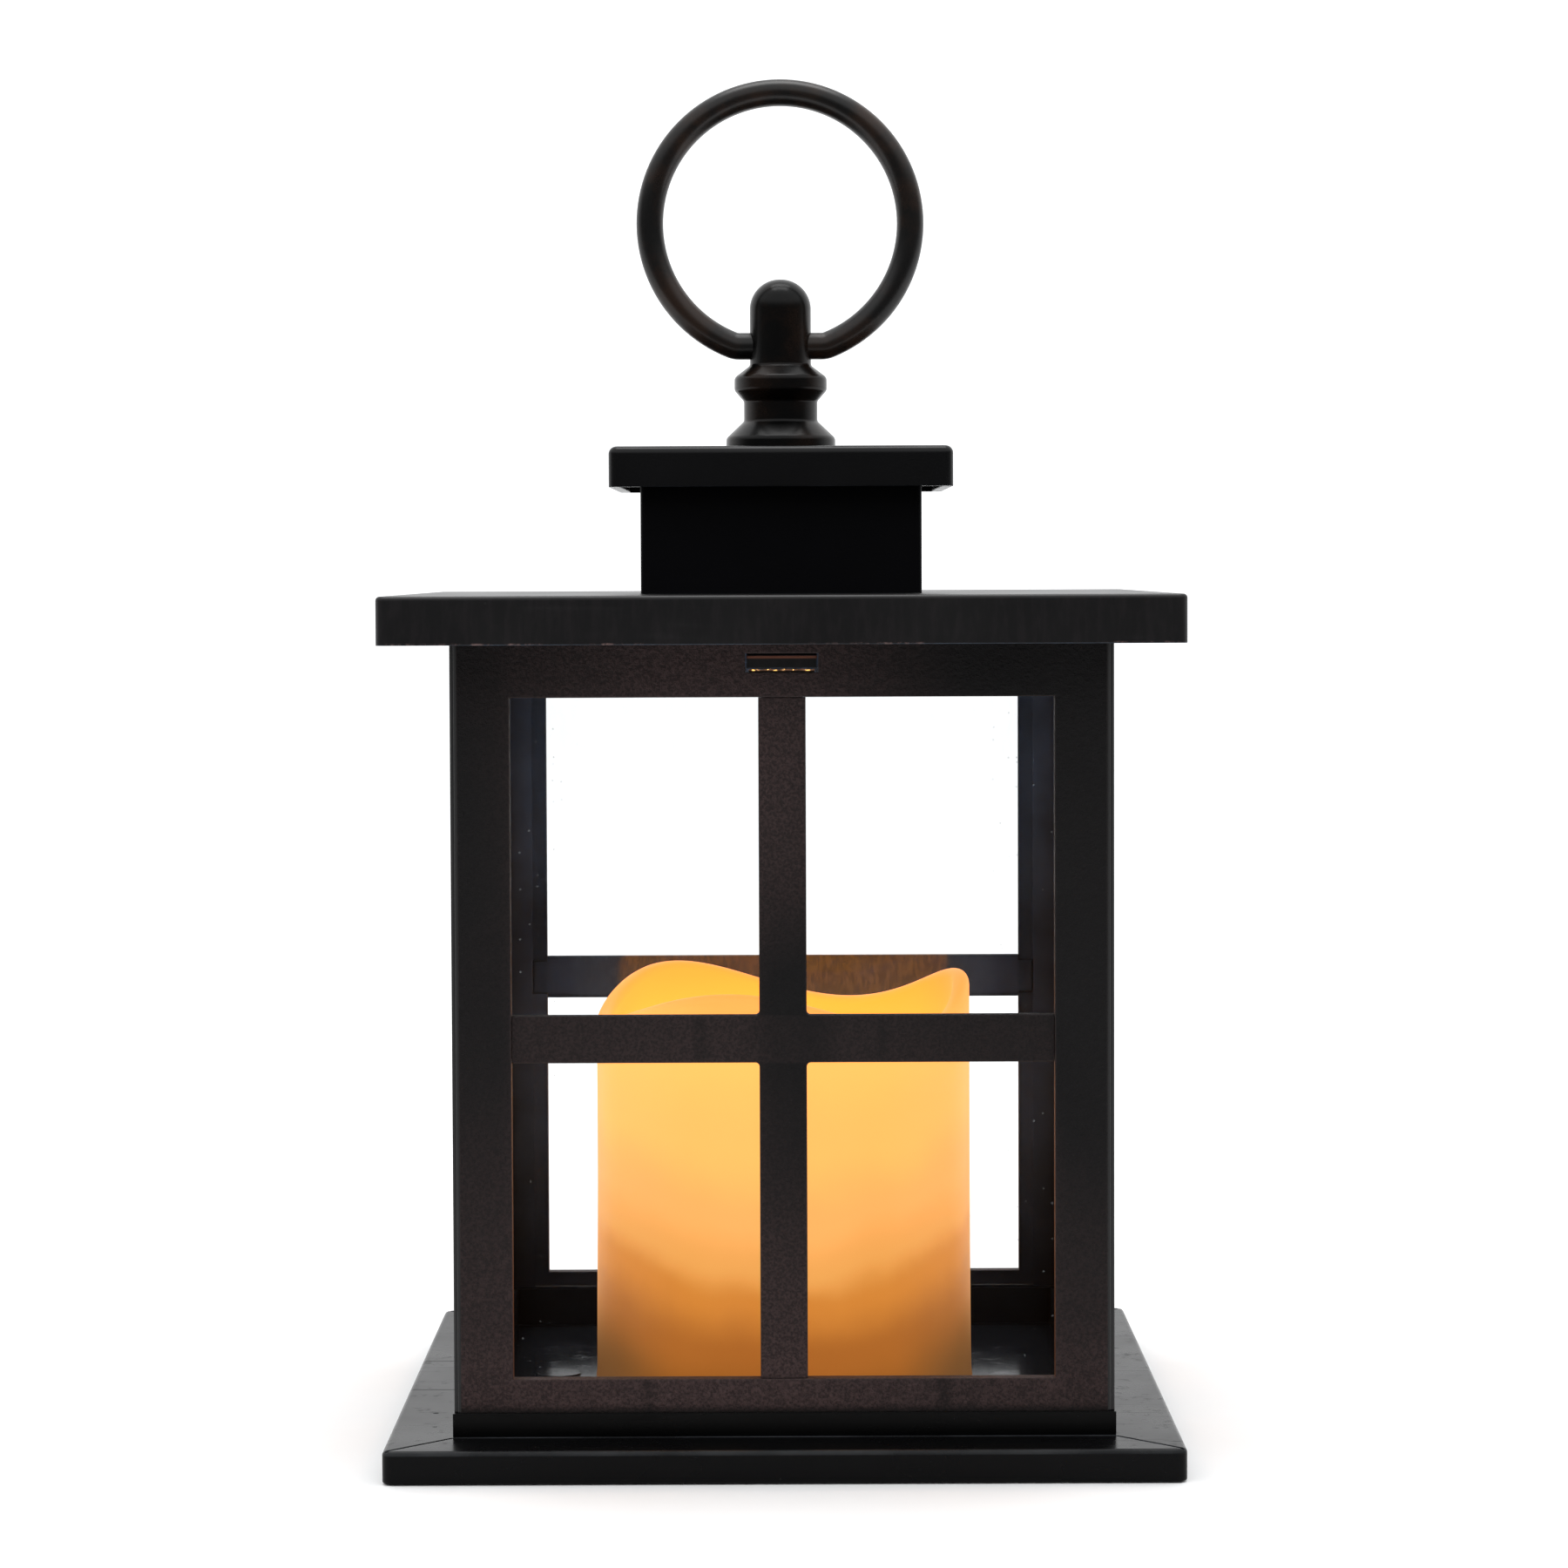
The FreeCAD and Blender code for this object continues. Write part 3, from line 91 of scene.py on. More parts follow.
class Shader:
    """A node material, put together from a few short calls."""

    def __init__(self, name):
        self.material = bpy.data.materials.new(name)
        self.material.use_nodes = True
        self.tree = self.material.node_tree
        self.tree.nodes.clear()
        self.output = self.add("ShaderNodeOutputMaterial")
        coordinates = self.add("ShaderNodeTexCoord")
        self.place = coordinates.outputs["Object"]
        split = self.add("ShaderNodeSeparateXYZ")
        self.feed(split.inputs[0], self.place)
        self.x, self.y, self.z = split.outputs
        self.geometry = self.add("ShaderNodeNewGeometry")
        faces = self.add("ShaderNodeSeparateXYZ")
        self.feed(faces.inputs[0], self.geometry.outputs["True Normal"])
        self.nx, self.ny, self.nz = faces.outputs

    def add(self, kind, **settings):
        """Add a node with some of its settings."""
        node = self.tree.nodes.new(kind)
        for key, value in settings.items():
            setattr(node, key, value)
        return node

    def feed(self, socket, value):
        """Give a socket a plain value or the output of another node."""
        if isinstance(value, bpy.types.NodeSocket):
            self.tree.links.new(value, socket)
        else:
            socket.default_value = value

    def sum(self, operation, first, second=0.0, third=0.0, clamp=False):
        """One step of arithmetic."""
        node = self.add("ShaderNodeMath", operation=operation, use_clamp=clamp)
        for socket, value in zip(node.inputs, (first, second, third)):
            self.feed(socket, value)
        return node.outputs[0]

    def times(self, first, *others):
        """Multiply values."""
        for value in others:
            first = self.sum("MULTIPLY", first, value)
        return first

    def total(self, *parts, clamp=False):
        """Add up values, each with a weight."""
        result = 0.0
        for value, weight in parts[:-1]:
            result = self.sum("MULTIPLY_ADD", value, weight, result)
        value, weight = parts[-1]
        return self.sum("MULTIPLY_ADD", value, weight, result, clamp=clamp)

    def fade(self, value, start, end, low=0.0, high=1.0):
        """Go smoothly from low to high as the value goes from start to end."""
        node = self.add("ShaderNodeMapRange", interpolation_type="SMOOTHSTEP")
        for socket, given in zip(node.inputs, (value, start, end, low, high)):
            self.feed(socket, given)
        return node.outputs[0]

    def near(self, value, middle, inner, outer):
        """1 within inner of the middle, 0 beyond outer."""
        away = self.sum("ABSOLUTE", self.sum("SUBTRACT", value, middle))
        return self.fade(away, inner, outer, 1.0, 0.0)

    def along(self):
        """Sideways place on a wall, as seen from outside it."""
        return self.sum("SUBTRACT", self.times(self.y, self.nx), self.times(self.x, self.ny))

    def outward(self):
        """How far out a face lies: above 0 on outer faces of the lantern, below 0 on inner ones."""
        return self.total((self.times(self.x, self.nx), 1.0), (self.times(self.y, self.ny), 1.0))

    def scaled(self, stretch, shift):
        """Place, stretched and shifted."""
        mapping = self.add("ShaderNodeMapping")
        self.feed(mapping.inputs["Vector"], self.place)
        mapping.inputs["Scale"].default_value = stretch
        mapping.inputs["Location"].default_value = (shift, shift, shift)
        return mapping.outputs[0]

    def noise(self, size, detail=2.0, rough=0.5, stretch=(1, 1, 1), shift=0.0):
        """Cloudy noise, about 0.5, with features of the given size in metres."""
        node = self.add("ShaderNodeTexNoise")
        self.feed(node.inputs["Vector"], self.scaled(stretch, shift))
        node.inputs["Scale"].default_value = 1 / size
        node.inputs["Detail"].default_value = detail
        node.inputs["Roughness"].default_value = rough
        return node.outputs["Fac"]

    def specks(self, size, share, width):
        """Small dots, 1 on a dot, with the given share of cells that hold one."""
        cells = self.add("ShaderNodeTexVoronoi")
        self.feed(cells.inputs["Vector"], self.scaled((1, 1, 1), 1.0))
        cells.inputs["Scale"].default_value = 1 / size
        close = self.fade(cells.outputs["Distance"], width * 0.4, width, 1.0, 0.0)
        pick = self.add("ShaderNodeSeparateXYZ")
        self.feed(pick.inputs[0], cells.outputs["Color"])
        return self.times(close, self.sum("LESS_THAN", pick.outputs[0], share))

    def edge(self, radius):
        """1 along sharp edges, 0 on open faces, and the normal rounded over the edges."""
        rounded = self.add("ShaderNodeBevel", samples=6)
        rounded.inputs["Radius"].default_value = radius
        turn = self.add("ShaderNodeVectorMath", operation="DOT_PRODUCT")
        self.feed(turn.inputs[0], rounded.outputs[0])
        self.feed(turn.inputs[1], self.geometry.outputs["Normal"])
        return self.fade(turn.outputs["Value"], 0.99, 0.90), rounded.outputs[0]

    def slant(self):
        """0 where the surface is seen straight on, 1 where it is seen edge-on."""
        weight = self.add("ShaderNodeLayerWeight")
        weight.inputs["Blend"].default_value = 0.5
        return weight.outputs["Facing"]

    def mix(self, share, first, second):
        """Blend two colours."""
        node = self.add("ShaderNodeMix", data_type="RGBA")
        for index, value in ((0, share), (6, first), (7, second)):
            self.feed(node.inputs[index], value)
        return node.outputs[2]

    def ramp(self, value, stops):
        """Look a value up in a row of coloured stops."""
        node = self.add("ShaderNodeValToRGB")
        node.color_ramp.interpolation = "EASE"
        while len(node.color_ramp.elements) < len(stops):
            node.color_ramp.elements.new(1.0)
        for element, (position, colour) in zip(node.color_ramp.elements, stops):
            element.position = position
            element.color = colour
        self.feed(node.inputs[0], value)
        return node.outputs[0]

    def bump(self, height, strength, depth, under=None):
        """Raise the surface by a height pattern, over an earlier normal if there is one."""
        node = self.add("ShaderNodeBump")
        self.feed(node.inputs["Height"], height)
        self.feed(node.inputs["Strength"], strength)
        node.inputs["Distance"].default_value = depth
        if under is not None:
            self.feed(node.inputs["Normal"], under)
        return node.outputs[0]

    def blend(self, share, first, second):
        """Blend two shaders."""
        node = self.add("ShaderNodeMixShader")
        self.feed(node.inputs[0], share)
        self.feed(node.inputs[1], first.outputs[0])
        self.feed(node.inputs[2], second.outputs[0])
        return node

    def finish(self, **sockets):
        """Close the material with one main shader."""
        main = self.add("ShaderNodeBsdfPrincipled")
        for key, value in sockets.items():
            self.feed(main.inputs[key.replace("_", " ")], value)
        self.feed(self.output.inputs["Surface"], main.outputs[0])
        return self.material


def dress(names, material):
    """Give CAD nodes a material."""
    for name in names:
        slots = nodes[name].data.materials
        slots.clear()
        slots.append(material)


def textured_plastic():
    """Grained warm black plastic of the walls and bars, smooth inside and on the bevelled corners, with
    painted light and shade in its tone.
    """
    s = Shader("textured_plastic")
    grain = s.fade(s.noise(0.00055, 3.0, 0.75), 0.36, 0.66)
    pits = s.noise(0.0013, 2.0, 0.6, shift=3.0)
    clouds = s.noise(0.016, 3.0, 0.55, shift=7.0)
    along = s.along()
    apart = s.sum("ABSOLUTE", along)
    # Painted light and shade in the tone: lighter low down, at the foot, in the middle, high up and at the
    # crossbar's window ends, lighter towards the left, darker where mullion and crossbar cross and on the
    # outer stiles; only the clouds vary at random.
    low_down = s.fade(s.z, 0.092, 0.012)
    foot = s.fade(s.z, 0.030, 0.012)
    middle = s.near(along, -0.012, 0.004, 0.054)
    high_up = s.times(middle, s.fade(s.z, 0.085, 0.140))
    crossing = s.times(s.near(along, 0.002, 0.003, 0.011), s.near(s.z, 0.075, 0.015, 0.045))
    rim = s.fade(apart, 0.050, 0.054)
    across = s.times(s.near(s.z, CROSSBAR_LEVEL, 0.0042, 0.0048),
                     s.fade(apart, WINDOW_HALF + 0.00065, WINDOW_HALF - 0.00035))
    tone = s.total((low_down, 0.31), (foot, 0.20), (middle, 0.13), (high_up, 0.32), (crossing, -0.16),
                   (across, 0.10), (along, -0.8), (rim, -0.06), (clouds, 0.14), (1.0, -0.06), clamp=True)
    share = s.times(tone, s.total((grain, 0.95), (pits, 0.50), (1.0, 0.28)))
    colour = s.mix(share, linear(10, 8, 9), linear(78, 61, 60))
    edge, rounded = s.edge(0.0005)
    # Lighter along sharp edges: part wear, part painted edge highlight.
    colour = s.mix(s.times(edge, 0.40), colour, linear(78, 68, 67))
    # Painted shade: near black at the foot of the wall, fading out upwards.
    colour = s.mix(s.fade(s.z, WALL_FOOT - 0.0002, WALL_FOOT + 0.0020, 0.95, 0.0), colour, linear(4, 4, 4))
    wander = s.total((clouds, 0.004), (along, 1.0), (1.0, -0.002))
    for place, level, reach in WALL_SCUFFS:
        mark = s.times(s.near(wander, place, 0.0, 0.0022), s.near(s.z, level, reach * 0.5, reach))
        colour = s.mix(s.times(mark, s.fade(pits, 0.30, 0.60, 0.15, 0.60)), colour, linear(13, 11, 11))
    bevel = s.fade(s.sum("ABSOLUTE", s.times(s.nx, s.ny)), 0.2, 0.4)
    colour = s.mix(bevel, colour, linear(9, 8, 9))
    outward = s.outward()
    # Painted candle light: the window reveals orange low down.
    painted_candle_light = s.times(s.near(outward, -WINDOW_HALF, 0.002, 0.003), s.fade(s.z, 0.100, 0.060))
    colour = s.mix(s.times(painted_candle_light, 0.7), colour, linear(104, 64, 42))
    inner = s.fade(outward, -0.0550, -0.0580)
    # Painted reflection on the inner faces: bluish grey, paler high up, darker towards the bottom, with
    # dark clouds.
    haze_and_sheen = s.mix(s.fade(s.z, 0.075, 0.020), linear(52, 64, 84), linear(36, 42, 54))
    haze_and_sheen = s.mix(s.fade(s.z, 0.090, 0.110), haze_and_sheen, linear(70, 86, 110))
    haze_and_sheen = s.mix(s.fade(clouds, 0.3, 0.7, 0.0, 0.35), haze_and_sheen, linear(12, 13, 16))
    colour = s.mix(inner, colour, haze_and_sheen)
    rough = s.total((clouds, 0.2), (bevel, -0.2), (inner, -0.22), (1.0, 0.5))
    plain = s.sum("SUBTRACT", 1.0, s.sum("MAXIMUM", bevel, inner))
    normal = s.bump(grain, s.times(plain, 0.8), 0.00014, rounded)
    normal = s.bump(pits, s.times(plain, 0.5), 0.00025, normal)
    return s.finish(Base_Color=colour, Roughness=rough, Normal=normal, IOR=1.28)


def smooth_black(name, dark, light, rough, ior, shine=(64, 68, 74), extra=None):
    """Smooth black moulding with faint clouds, fine scratches, edges lightened by wear and a painted
    highlight, and a little dust.
    """
    s = Shader(name)
    clouds = s.noise(0.018, 3.0, 0.55)
    fine = s.noise(0.0005, 2.0, 0.6, shift=2.0)
    streaks = s.noise(0.0011, 2.0, 0.6, stretch=(0.05, 1.0, 0.6), shift=5.0)
    share = s.total((fine, 0.6), (clouds, 0.8), (1.0, -0.2), clamp=True)
    colour = s.mix(share, linear(*dark), linear(*light))
    edge, rounded = s.edge(0.0004)
    # Lighter edges in the shine colour: part wear, part painted edge highlight.
    wear_and_sheen = s.times(edge, s.fade(clouds, 0.35, 0.65, 0.15, 0.55))
    colour = s.mix(wear_and_sheen, colour, linear(*shine))
    dust = s.times(s.specks(0.0045, 0.10, 0.09), s.fade(s.nz, 0.3, 0.9, 0.08, 0.35))
    colour = s.mix(dust, colour, linear(130, 128, 126))
    scratched = s.fade(streaks, 0.60, 0.74)
    roughness = s.total((clouds, 0.14), (scratched, 0.08), (dust, 0.3), (1.0, rough - 0.07), clamp=True)
    normal = s.bump(fine, 0.10, 0.00003, rounded)
    if extra:
        colour, roughness, normal = extra(s, colour, roughness, normal, clouds)
    return s.finish(Base_Color=colour, Roughness=roughness, Normal=normal, IOR=ior)


def base_marks(s, colour, rough, normal, clouds):
    """Scuffs and pimples on the base's ledge; painted light on the ledge's top and on the floor inside,
    which is greyer; painted highlights along the ledge's outer edge and round the bosses; painted shade on
    the plinth.
    """
    on_ledge = s.times(s.fade(s.nz, 0.6, 0.9), s.near(s.z, LEDGE_TOP, 0.0004, 0.0008))
    left = s.fade(s.x, -0.062, -0.064)
    for level in LEDGE_LINES:
        line = s.times(s.near(s.y, level, 0.0001, 0.0004), left, on_ledge)
        rough = s.total((line, 0.25), (rough, 1.0))
    rubbed = s.times(s.fade(s.noise(0.004, 4.0, 0.7, shift=8.0), 0.55, 0.75), on_ledge)
    rough = s.total((rubbed, 0.12), (rough, 1.0))
    pimples = s.times(s.specks(0.0034, 0.45, 0.20), on_ledge, s.near(s.x, -0.0675, 0.002, 0.004),
                      s.near(s.y, -0.037, 0.012, 0.018))
    rough = s.total((pimples, 0.25), (rough, 1.0))
    normal = s.bump(s.sum("MAXIMUM", pimples, s.times(rubbed, 0.15)), 0.7, 0.0003, normal)
    reach = s.sum("MAXIMUM", s.sum("ABSOLUTE", s.x), s.sum("ABSOLUTE", s.y))
    inside = s.times(s.fade(reach, 0.0592, 0.0585), s.fade(s.z, 0.003, 0.004))
    rough = s.total((inside, -0.13), (rough, 1.0), clamp=True)
    # Painted light: the ledge's top lighter than the base's other faces.
    colour = s.mix(on_ledge, colour, s.mix(clouds, linear(8, 8, 9), linear(13, 13, 14)))
    # Painted highlight: a pale line along the ledge's outer edge.
    painted_edge_highlight = s.times(s.fade(reach, 0.0741, 0.0745), s.near(s.z, LEDGE_TOP - 0.0004, 0.0003, 0.0006))
    colour = s.mix(s.times(painted_edge_highlight, s.fade(clouds, 0.3, 0.7, 0.12, 0.34)), colour, linear(84, 86, 88))
    # Painted shade: the plinth near black.
    plinth = s.times(s.fade(reach, 0.066, 0.0645), s.fade(s.z, 0.0064, 0.0070))
    colour = s.mix(plinth, colour, s.mix(clouds, linear(1, 1, 1), linear(4, 4, 4)))
    # Painted light: the floor inside greyer and a little bluish.
    colour = s.mix(inside, colour, s.mix(clouds, linear(24, 27, 31), linear(33, 36, 41)))
    # Painted highlight: a pale ring round the top of each boss on the floor inside.
    raised = s.fade(s.z, INSIDE_FLOOR - 0.0001, INSIDE_FLOOR)
    for x, y in BOSS_PLACES:
        far = s.add("ShaderNodeVectorMath", operation="DISTANCE")
        s.feed(far.inputs[0], s.place)
        far.inputs[1].default_value = (x, y, BOSS_TOP)
        rim = s.times(s.near(far.outputs["Value"], BOSS_RIM, 0.0001, 0.0003), raised)
        colour = s.mix(s.times(rim, 0.6), colour, linear(70, 70, 73))
    return colour, rough, normal


def roof_marks(s, colour, rough, normal, clouds):
    """A ragged painted highlight along the roof's lower edge, streaks on its rim, and painted warm light on
    its catches.
    """
    upright = s.fade(s.sum("ABSOLUTE", s.nz), 0.5, 0.2)
    rough = s.total((s.fade(s.nz, 0.4, 0.9), -0.07), (rough, 1.0))
    streaks = s.noise(0.0016, 3.0, 0.65, stretch=(1.0, 1.0, 0.22), shift=15.0)
    colour = s.mix(s.times(s.fade(streaks, 0.40, 0.70, 0.0, 0.5), upright), colour, linear(27, 23, 25))
    # Painted highlight: a ragged pale line along the roof's lower edge.
    ragged = s.noise(0.0022, 4.0, 0.75, shift=11.0)
    stretches = s.fade(s.noise(0.020, 2.0, 0.5, shift=13.0), 0.46, 0.60)
    line = s.times(s.near(s.z, ROOF_LINE, 0.0001, 0.0004), s.fade(ragged, 0.46, 0.70), stretches, upright)
    colour = s.mix(s.times(line, 0.7), colour, linear(138, 112, 108))
    # Painted warm light on the catches.
    catch = s.times(s.near(s.z, CATCH_LINE, 0.0001, 0.0004), upright)
    colour = s.mix(s.times(catch, 0.8), colour, linear(120, 74, 56))
    normal = s.bump(streaks, s.times(upright, 0.25), 0.00006, normal)
    return colour, rough, normal


def cover_marks(s, colour, rough, normal, clouds):
    """A fine moulded grain and the scuffs of being stood on tables, on the bottom cover and the door."""
    grain = s.fade(s.noise(0.0007, 3.0, 0.7, shift=19.0), 0.38, 0.64)
    colour = s.mix(s.times(grain, 0.45), colour, linear(40, 40, 41))
    scuffs = s.noise(0.0022, 4.0, 0.7, stretch=(0.12, 1.0, 1.0), shift=21.0)
    scuffed = s.times(s.fade(scuffs, 0.56, 0.72), s.fade(clouds, 0.40, 0.62))
    colour = s.mix(s.times(scuffed, 0.55), colour, linear(74, 74, 76))
    rough = s.total((scuffed, -0.12), (grain, 0.08), (rough, 1.0))
    return colour, rough, s.bump(grain, 0.5, 0.0001, normal)


def rubbed_bronze(name, dark, light, rough, ior, warm, places=()):
    """Satin black over brown, rubbed through in soft patches, for the ring and the finial."""
    s = Shader(name)
    clouds = s.noise(0.012, 3.0, 0.55)
    fine = s.noise(0.00035, 2.0, 0.6, shift=2.0)
    patches = s.noise(0.011, 4.0, 0.6, shift=9.0)
    share = s.total((fine, 0.6), (clouds, 0.7), (1.0, -0.15), clamp=True)
    colour = s.mix(share, linear(*dark), linear(*light))
    rubbing = s.total((patches, 1.0), (fine, 0.15))
    # Browner at the listed places: rubbing, and a painted warm sheen.
    for x, z, reach in places:
        wear_and_sheen = s.times(s.near(s.x, x, 0.0, reach), s.near(s.z, z, 0.0, reach))
        rubbing = s.total((wear_and_sheen, 0.22), (rubbing, 1.0))
    rubbed = s.fade(rubbing, 0.48, 0.80, 0.0, warm)
    colour = s.mix(rubbed, colour, linear(64, 42, 28))
    specks = s.times(s.specks(0.0016, 0.10, 0.16), s.fade(patches, 0.45, 0.6, 0.0, warm * 0.6))
    colour = s.mix(specks, colour, linear(96, 74, 56))
    roughness = s.total((clouds, 0.14), (rubbed, -0.06), (1.0, rough - 0.07), clamp=True)
    normal = s.bump(fine, 0.06, 0.00003)
    return s.finish(Base_Color=colour, Roughness=roughness, Normal=normal, IOR=ior)


def clear_plastic():
    """Clear pane: mirrors at a slant and faintly on its inner face, rippled, with dust at its edges and a
    painted highlight on its cut faces.
    """
    s = Shader("clear_plastic")
    slant = s.sum("POWER", s.slant(), 8.0)
    outward = s.outward()
    smears = s.noise(0.0009, 2.0, 0.6, stretch=(1.0, 1.0, 0.35), shift=6.0)
    smears = s.fade(smears, 0.35, 0.65, 0.75, 1.25)
    plain = s.times(s.fade(outward, -0.01, 0.01, 0.065, 0.0), smears)
    first_side = s.sum("SUBTRACT", 1.0, s.geometry.outputs["Backfacing"])
    mirror = s.times(s.total((slant, 0.85), (plain, 1.0), clamp=True), first_side)
    clear = s.add("ShaderNodeBsdfTransparent")
    clear.inputs["Color"].default_value = (0.990, 0.993, 0.995, 1.0)
    haze_and_sheen = s.noise(0.02, 3.0, 0.6)
    shine = s.add("ShaderNodeBsdfGlossy")
    shine.inputs["Color"].default_value = (0.97, 0.98, 1.0, 1.0)
    softness = s.fade(outward, -0.01, 0.01, 0.02, 0.38)
    s.feed(shine.inputs["Roughness"], s.total((haze_and_sheen, 0.10), (softness, 1.0)))
    ripple = s.noise(0.009, 1.0, 0.4, shift=4.0)
    s.feed(shine.inputs["Normal"], s.bump(ripple, 0.10, 0.0001))
    sheet = s.blend(mirror, clear, shine)
    margin = s.fade(s.sum("ABSOLUTE", s.along()), 0.041, 0.050)
    dots = s.times(s.specks(0.0017, 0.16, 0.16), margin, 0.3)
    # Painted highlight: the pane's cut top and bottom faces pale, mixed in with the dust.
    edge = s.fade(s.sum("ABSOLUTE", s.nz), 0.5, 0.9, 0.0, 0.2)
    dust_and_bright_edge = s.add("ShaderNodeBsdfDiffuse")
    s.feed(dust_and_bright_edge.inputs["Color"], s.mix(haze_and_sheen, linear(150, 160, 165), linear(205, 212, 214)))
    pane = s.blend(s.sum("MAXIMUM", dots, edge), sheet, dust_and_bright_edge)
    s.feed(s.output.inputs["Surface"], pane.outputs[0])
    return s.material


def painted_glow_lip():
    """Upper lip of a pane, seen in the roof catch's slot, with a painted glow along its edge for the
    candle's light.
    """
    s = Shader("painted_glow_lip")
    along = s.along()
    top = s.fade(s.z, 0.15070, 0.15092)
    uneven = s.noise(0.0012, 2.0, 0.6)
    # Painted glow: the lip's edge lit warm, with painted glints at the listed places.
    glow = s.fade(uneven, 0.3, 0.7, 0.10, 0.42)
    for middle, strength, reach in LIP_PAINTED_GLINTS:
        glow = s.total((s.near(along, middle, 0.0, reach), strength * 3.0), (glow, 1.0))
    light = s.mix(s.fade(glow, 0.3, 2.0), linear(176, 128, 100), linear(255, 196, 104))
    return s.finish(Base_Color=linear(60, 46, 34), Roughness=s.total((uneven, 0.2), (1.0, 0.15)),
                    Normal=s.bump(uneven, 0.2, 0.0001), Emission_Color=light,
                    Emission_Strength=s.times(glow, top))


def candle_wax():
    """Wax lit from inside: bright at the top, golden in the hollow, with painted shade brown at the foot,
    deeper orange towards the right, dimmer at the rim's left and right and dark in the lower corners, and a
    painted pale sheen in outline.
    """
    s = Shader("candle_wax")
    mottle = s.noise(0.024, 3.0, 0.5)
    skin = s.noise(0.0022, 3.0, 0.55, shift=6.0)
    # Painted shadow of the battery box: the glow's level sinks towards the sides, so the dark foot reaches
    # higher there.
    sideways = s.sum("POWER", s.sum("ABSOLUTE", s.sum("DIVIDE", s.x, 0.038)), 2.5)
    level = s.total((sideways, -0.009), (mottle, 0.010), (s.z, 1.0), (1.0, -0.004))
    glow = s.ramp(s.sum("DIVIDE", level, WAX_REACH), WAX_GLOW)
    across = s.sum("SQRT", s.total((s.times(s.x, s.x), 1.0), (s.times(s.y, s.y), 1.0)))
    hollow = s.times(s.fade(across, 0.0356, 0.0344), s.fade(s.z, 0.070, 0.0705))
    depth = s.fade(s.z, 0.088, 0.076)
    glow = s.mix(hollow, glow, s.mix(depth, RIM_GLOW, POOL_GLOW))
    shaded = s.times(s.fade(s.x, -0.010, 0.038, 0.0, 0.16), s.fade(s.z, 0.030, 0.060))
    glow = s.mix(shaded, glow, SHADED_GLOW)
    # Painted shade: the rim dimmer and deeper orange towards its left and right.
    shaded_ends = s.times(s.fade(s.sum("ABSOLUTE", s.x), 0.027, 0.037, 0.0, 0.45), s.fade(s.z, 0.072, 0.080))
    glow = s.mix(shaded_ends, glow, SHADED_ENDS_GLOW)
    # Painted shade: the glow dark in the lower outer corners.
    corner = s.times(s.fade(s.sum("ABSOLUTE", s.x), 0.020, 0.036), s.fade(s.z, 0.030, 0.007))
    glow = s.mix(s.times(corner, 0.6), glow, CORNER_SHADE_GLOW)
    # Painted sheen: a pale glow where the candle is seen edge-on, above its foot.
    painted_outline_sheen = s.times(s.sum("POWER", s.slant(), 6.0), s.fade(s.z, 0.008, 0.030, 0.0, 0.6))
    glow = s.mix(painted_outline_sheen, glow, OUTLINE_SHEEN_GLOW)
    wax = s.mix(mottle, linear(148, 102, 42), linear(164, 118, 52))
    # Painted shade: the wax greyer in the lower outer corners.
    wax = s.mix(s.times(corner, 0.6), wax, linear(122, 108, 84))
    normal = s.bump(skin, 0.08, 0.0002)
    rough = s.total((mottle, 0.14), (1.0, 0.46))
    return s.finish(Base_Color=wax, Roughness=rough, Normal=normal, IOR=1.32, Emission_Color=glow,
                    Emission_Strength=GLOW_STRENGTH)


def moulding(name, first, second, rough, metal=0.0):
    """A plain moulded, plated or printed surface with a fine grain and uneven tone."""
    s = Shader(name)
    clouds = s.noise(0.008, 3.0, 0.6)
    fine = s.noise(0.0006, 2.0, 0.6, shift=3.0)
    colour = s.mix(s.total((fine, 0.5), (clouds, 0.5), clamp=True), linear(*first), linear(*second))
    normal = s.bump(fine, 0.25, 0.00003)
    return s.finish(Base_Color=colour, Roughness=s.total((fine, 0.2), (1.0, rough - 0.1)), Normal=normal,
                    Metallic=metal)


def lamp_lens():
    """Amber lens that glows."""
    s = Shader("lamp_lens")
    clouds = s.noise(0.002, 2.0, 0.5)
    glow = s.mix(clouds, linear(255, 190, 90), linear(255, 214, 140))
    return s.finish(Base_Color=glow, Roughness=s.total((clouds, 0.2), (1.0, 0.1)), Emission_Color=glow,
                    Emission_Strength=4.0)


# Each screw node's places and its outline from the head's face inwards, radius and level, in millimetres.
SCREWS = {
    "cover_screws": ([(x / MM, y / MM) for x, y in BOSS_PLACES],
                     ((2.4, 0.8), (1.2, 2.2), (1.2, 5.0))),
    "chimney_screws": ([(21, 21), (-21, 21), (-21, -21), (21, -21)],
                       ((2.2, 161.6), (2.4, 161.8), (2.4, 163.1), (1.2, 163.1), (1.2, 169.1))),
    "box_screws": ([(10, 26.5), (-10, 26.5), (-10, -26.5), (10, -26.5)],
                   ((2.2, 2.7), (2.4, 2.9), (2.4, 4.2), (1.2, 4.2), (1.2, 10.2))),
    "finial_screw": ([(0, 0)],
                     ((3.3, 186.4), (3.6, 186.7), (3.6, 189.0), (1.9, 189.0), (1.9, 203.0))),
}


